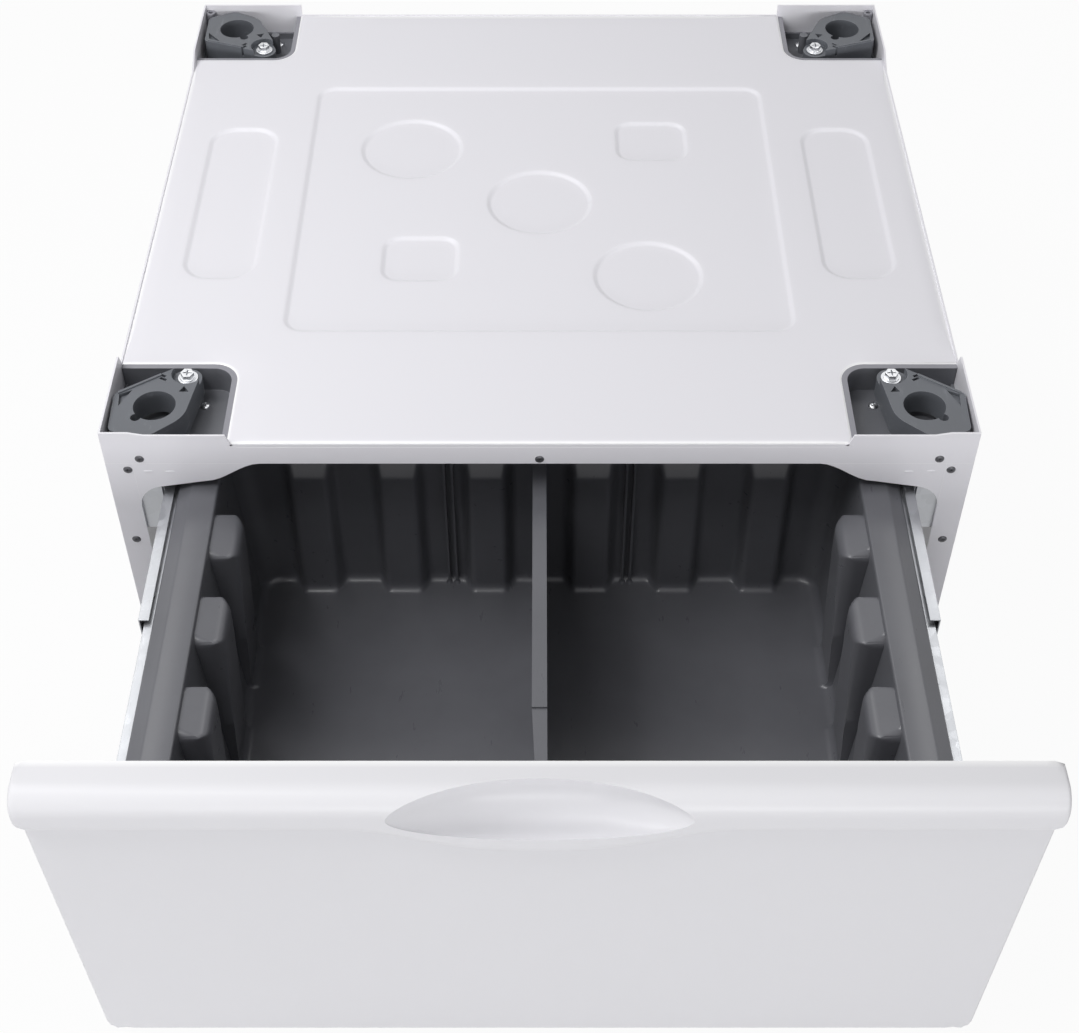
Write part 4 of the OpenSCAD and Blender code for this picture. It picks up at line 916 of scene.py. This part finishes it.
mesh = bpy.data.meshes.new("front_moulding")
mesh.from_pydata((np.column_stack([x, y, z]) * MM).tolist(), [], list(faces))
# Painted highlight: a strip about 2 mm wide along the front's top edge is marked to be painted near white.
mark_highlight_edges(mesh, np.clip(1.5 - (v - v_top) / 1.6, 0, 1))
shape = bmesh.new()
shape.from_mesh(mesh)
border = [e for e in shape.edges if e.is_boundary]
sides = bmesh.ops.extrude_edge_only(shape, edges=border)["geom"]
for vert in (g for g in sides if isinstance(g, bmesh.types.BMVert)):
    vert.co.y = back_y * MM
bmesh.ops.holes_fill(shape, edges=[g for g in sides if isinstance(g, bmesh.types.BMEdge)], sides=0)
bmesh.ops.remove_doubles(shape, verts=shape.verts, dist=4e-5)
bmesh.ops.dissolve_degenerate(shape, dist=4e-5, edges=shape.edges)
bmesh.ops.triangulate(shape, faces=[f for f in shape.faces if len(f.verts) > 4])
bmesh.ops.recalc_face_normals(shape, faces=shape.faces)
shape.to_mesh(mesh)
shape.free()
front = new_piece("front_moulding", mesh)
shade(front.data, 38)
finish_piece(front, front_white, "drawer", "front_white", "drawer_front")

# -------------------- drawer bin
# A deep tub moulded in dark grey plastic with a fine grain. Ribs in its back wall
# and pillars in its sides are pressed in from outside, and broad rims cap the sides.

bin_grey = moulded("bin plastic", (0.125, 0.127, 0.141), 0.26, (0.20, 0.20, 0.21), grain=1.1, edge_wear_and_highlight=0.06)

rim_z, floor_z = 323.0, 155.0
rim_half, floor_half = 251.5, 241.0
bin_y0, bin_y1, back_draft, wall = -598.8, -254.8, 3.0, 3.0
outer_half, outer_y0, outer_y1, outer_r = 284.0, -601.8, -242.8, 5.0
nose_r, tail_r, floor_r = 5.0, 18.0, 8.0  # upright edges, and the edge of the floor
pillar_ys, pillar_half, pillar_reach = (-525.3, -440.8, -356.3), 23.5, 229.5
pillar_top, pillar_r, pillar_fall = rim_z - 3.5, 9.0, math.radians(16)
pillar_draft, pillar_edge = 8.5, 12  # spread towards the floor, and upright edges
across = np.linspace(-1, 1, 23)  # places across a pillar
between = np.linspace(0, 1, 12)[1:-1]  # places between two pillars
rib_xs, rib_face, rib_foot = [s * v for s in (-1, 1) for v in (43, 116, 189)], 13.0, 22.0


def pillar_line(z, w, shift, grow, y_front, y_back):
    """Right side of the tub at a height: the wall at w, and the pillars that stand in front of it."""
    round_off = np.clip(z - pillar_top + pillar_r, 0, pillar_r)
    half = pillar_half - pillar_r + math.sqrt(pillar_r ** 2 - round_off ** 2) - grow
    bend_x = pillar_reach + pillar_r
    bend_z = pillar_top - (rim_half - bend_x + pillar_r * math.sin(pillar_fall)) * math.tan(pillar_fall) \
        - pillar_r * math.cos(pillar_fall)
    if z < bend_z:
        face = pillar_reach + pillar_draft * (bend_z - z) / (bend_z - floor_z + 6)
    elif z < bend_z + pillar_r * math.cos(pillar_fall):
        face = bend_x - math.sqrt(pillar_r ** 2 - (z - bend_z) ** 2)
    else:
        face = rim_half - (pillar_top - z) / math.tan(pillar_fall)
    t = across * half
    turn = np.clip(np.abs(t) - pillar_half + pillar_edge, 0, pillar_edge)
    plan = pillar_reach + pillar_edge - np.sqrt(pillar_edge ** 2 - turn ** 2)
    column = np.minimum(np.maximum(face, plan), w) + shift
    out, last = [(w + shift, y_front)], y_front
    for centre in pillar_ys:
        first = centre - half - 0.08
        out += [(w + shift, last + (first - last) * k) for k in between] + [(w + shift, first)]
        out += list(zip(column, centre + t)) + [(w + shift, centre + half + 0.08)]
        last = centre + half + 0.08
    out += [(w + shift, last + (y_back - last) * k) for k in between] + [(w + shift, y_back)]
    return np.array(out)


def back_rib(x, z):
    """How far the back wall stands in at a rib, whose top slopes back to the wall."""
    depth = np.interp(z, [286, 292, 304], [12, 8.5, 0])
    out = np.zeros_like(x)
    for centre in rib_xs:
        t = np.clip((rib_foot - np.abs(x - centre)) / (rib_foot - rib_face), 0, 1)
        out = np.maximum(out, t * t * (3 - 2 * t))
    return depth * out


back_n, turn_n = 190, 10
half_turn = np.linspace(0, 1, turn_n + 2)[1:-1]


def tub_line(z, grow, inset=0.0):
    """Outline of the tub at a height, with its ribs and pillars, drawn in by the inset."""
    h = (rim_z - z) / (rim_z - floor_z)
    w, shift = rim_half + (floor_half - rim_half) * h, grow - inset
    y0, y1 = bin_y0 + inset - min(grow, 2.4), bin_y1 - back_draft * h + shift
    tail, nose = max(tail_r + shift, 0.3), max(nose_r + shift, 0.3)
    side = pillar_line(z, w, shift, grow if z < rim_z - 2 else 0, y0 + nose, y1 - tail)
    a = half_turn * math.pi / 2
    rear = np.column_stack([w + shift - tail + tail * np.cos(a), y1 - tail + tail * np.sin(a)])
    front = np.column_stack([w + shift - nose + nose * np.cos(a), y0 + nose - nose * np.sin(a)])
    xx = (w + shift - tail) * np.linspace(1, -1, back_n)
    flip = np.array([-1, 1])
    return np.vstack([
        side, rear, np.column_stack([xx, y1 - back_rib(xx, z)]), (rear * flip)[::-1], (side * flip)[::-1],
        front * flip, np.column_stack([(w + shift - nose) * np.linspace(-1, 1, back_n), np.full(back_n, y0)]),
        front[::-1]])


side_ys = pillar_line(rim_z, rim_half, 0, 0, bin_y0 + nose_r, bin_y1 - tail_r)[:, 1]
right_n = len(side_ys)


def outer_line(back_in):
    """Outer outline of the rims, point for point beside the tub's outline."""
    X, Y0, Y1 = outer_half - back_in, outer_y0 + min(back_in, 0.5), outer_y1 - back_in
    q = max(outer_r - back_in, 0.5)
    def bend(x_end, y_start, Y, sy):
        path = [(X, y_start)] + [(X - q + q * math.cos(a), Y - sy * q + sy * q * math.sin(a))
                                 for a in np.linspace(0, math.pi / 2, 7)] + [(x_end, Y)]
        path = np.array(path)
        s = np.concatenate([[0], np.cumsum(np.hypot(*np.diff(path, axis=0).T))])
        t = half_turn * s[-1]
        return np.column_stack([np.interp(t, s, path[:, 0]), np.interp(t, s, path[:, 1])])
    rear = bend(rim_half - tail_r, side_ys[-1], Y1, 1)
    nose = bend(rim_half - nose_r, side_ys[0], Y0, -1)
    flip = np.array([-1, 1])
    return np.vstack([
        np.column_stack([np.full(right_n, X), side_ys]), rear,
        np.column_stack([(rim_half - tail_r) * np.linspace(1, -1, back_n), np.full(back_n, Y1)]),
        (rear * flip)[::-1], np.column_stack([np.full(right_n, -X), side_ys[::-1]]), nose * flip,
        np.column_stack([(rim_half - nose_r) * np.linspace(-1, 1, back_n), np.full(back_n, Y0)]), nose[::-1]])


parts = [right_n, turn_n, back_n, turn_n, right_n, turn_n, back_n, turn_n]
count = sum(parts)
segment = np.repeat(np.arange(8), parts)
along_front = (segment == 6)[:, None]
skirt = np.select([segment == 2, segment == 6], [18.0, 6.0], 50.0)
shoulder = np.select([segment == 6], [1.2], 12.0)  # width of the rim's sloping outer shoulder
drop = np.select([segment == 6], [1.2], 5.0)  # and its height
rows = []


def row(line, heights):
    """Adds one ring of the loft."""
    rows.append(np.column_stack([line, np.broadcast_to(heights, len(line))]))


outside, inside_line = outer_line(0.0), tub_line(rim_z, 0.0)
toward = inside_line - outside
toward = toward / np.maximum(np.hypot(*toward.T), 1e-6)[:, None]
row(outside, rim_z - skirt)
row(outside, rim_z - drop - 2)
for share, fall in ((0.03, 1.15), (0.10, 1.0), (0.25, 0.86), (0.5, 0.6),
                    (0.72, 0.34), (0.86, 0.14), (0.95, 0.03), (1.06, 0)):
    row(outside + toward * (shoulder * share)[:, None], rim_z - drop * fall)
lip_r = 2.2
lip_out = np.where(along_front, inside_line + [0, -1.2], tub_line(rim_z, lip_r))
for a in np.linspace(0, math.pi / 2, 5):
    row(lip_out + (inside_line - lip_out) * math.sin(a), rim_z - lip_r * (1 - math.cos(a)))
# heights of the rings down the walls, close together where the pillars and ribs bend
levels = [319.4, 318.6, 317.6, 316.6, 315.6, 315.0, 314.2, 313.2, 312.0, 310.6, 309.0, 307.5, 306.2]
levels += list(np.arange(304.5, 277, -2.2)) + list(np.arange(273, floor_z + floor_r + 3, -7))
for z in levels:
    row(tub_line(z, 0.0), z)
for a in np.linspace(0, math.pi / 2, 7):
    z = floor_z + floor_r * (1 - math.sin(a))
    row(tub_line(z, 0.0, floor_r * (1 - math.cos(a))), z)
cap_in = len(rows) - 1
for a in np.linspace(math.pi / 2, 0, 4):
    row(tub_line(floor_z, 0.0, floor_r * (1 - math.cos(a)) - (wall if a == 0 else wall * math.cos(a))),
        floor_z - wall + floor_r * (1 - math.sin(a)))
for z in levels[::-1]:
    if z > floor_z + 12:
        row(tub_line(z, wall), z)
row(tub_line(rim_z, wall), rim_z - wall)
under = np.where(along_front, tub_line(rim_z, wall) + [0, -0.1], outer_line(wall))
row(under, rim_z - wall - drop - 1)
row(under, rim_z - skirt)
quads = []
for k in range(len(rows)):
    if k == cap_in:
        continue
    nk = (k + 1) % len(rows)
    for i in range(count):
        j = (i + 1) % count
        quads.append((k * count + i, k * count + j, nk * count + j, nk * count + i))
quads += [tuple(k * count + i for i in range(count)) for k in (cap_in, cap_in + 1)]
mesh = bpy.data.meshes.new("bin_tub")
mesh.from_pydata((np.array(rows).reshape(-1, 3) * MM).tolist(), [], quads)
bm = bmesh.new()
bm.from_mesh(mesh)
bmesh.ops.recalc_face_normals(bm, faces=bm.faces)
bmesh.ops.triangulate(bm, faces=[f for f in bm.faces if len(f.verts) > 4])
bm.to_mesh(mesh)
bm.free()
tub = new_piece("bin_tub", mesh)
shade(tub.data, 50)
finish_piece(tub, bin_grey, "drawer", "bin_grey", "drawer_bin")

guide = Pattern("divider guide", "width", "reach", "height", "foot")
bar = guide.moved(guide.node("GeometryNodeMeshCube", {}, {"Size": guide.xyz(
    guide["width"], guide["reach"], guide["height"])}), guide.xyz(0.0, 0.0, guide["height"] * 0.5))
root = guide.node("GeometryNodeMeshCone", {}, {
    "Vertices": 16, "Radius Top": guide["width"] * 0.5, "Radius Bottom": guide["foot"],
    "Depth": guide["foot"]}, "Mesh")
both = guide.joined(bar, guide.moved(root, guide.xyz(0.0, guide["reach"] * -0.3, 0.0)))
guide.close(guide.node("GeometryNodeInstanceOnPoints", {}, {"Points": guide["Places"], "Instance": both}))
for name, y, reach, slots in (("guides_back", bin_y1 - back_draft - 1.2, 8.0, (-75, 0, 75)),
                              ("guides_front", bin_y0 + 1.2, 3.4, (0,))):
    places = [((x + s * 3.3) * MM, y * MM, floor_z * MM) for x in slots for s in (-1, 1)]
    finish_piece(guide.run(name, places, bin_grey, 50, width=2.0, reach=reach, height=148.0, foot=3.6),
                 bin_grey, "drawer", "bin_grey")

# -------------------- divider
# A moulded panel that stands in guides down the middle of the tub, with a broad
# top edge that steps down and narrows towards the front.

rounded("bin_divider", 0.8, bin_grey, segments=3)

# -------------------- bumpers
# Soft discs behind the front that meet the posts when the drawer is shut.

bumper_rubber = moulded("bumper rubber", (0.30, 0.30, 0.31), 0.55, (0.3, 0.3, 0.32), grain=0.7)
rounded("drawer_bumpers", 0.3, bumper_rubber)
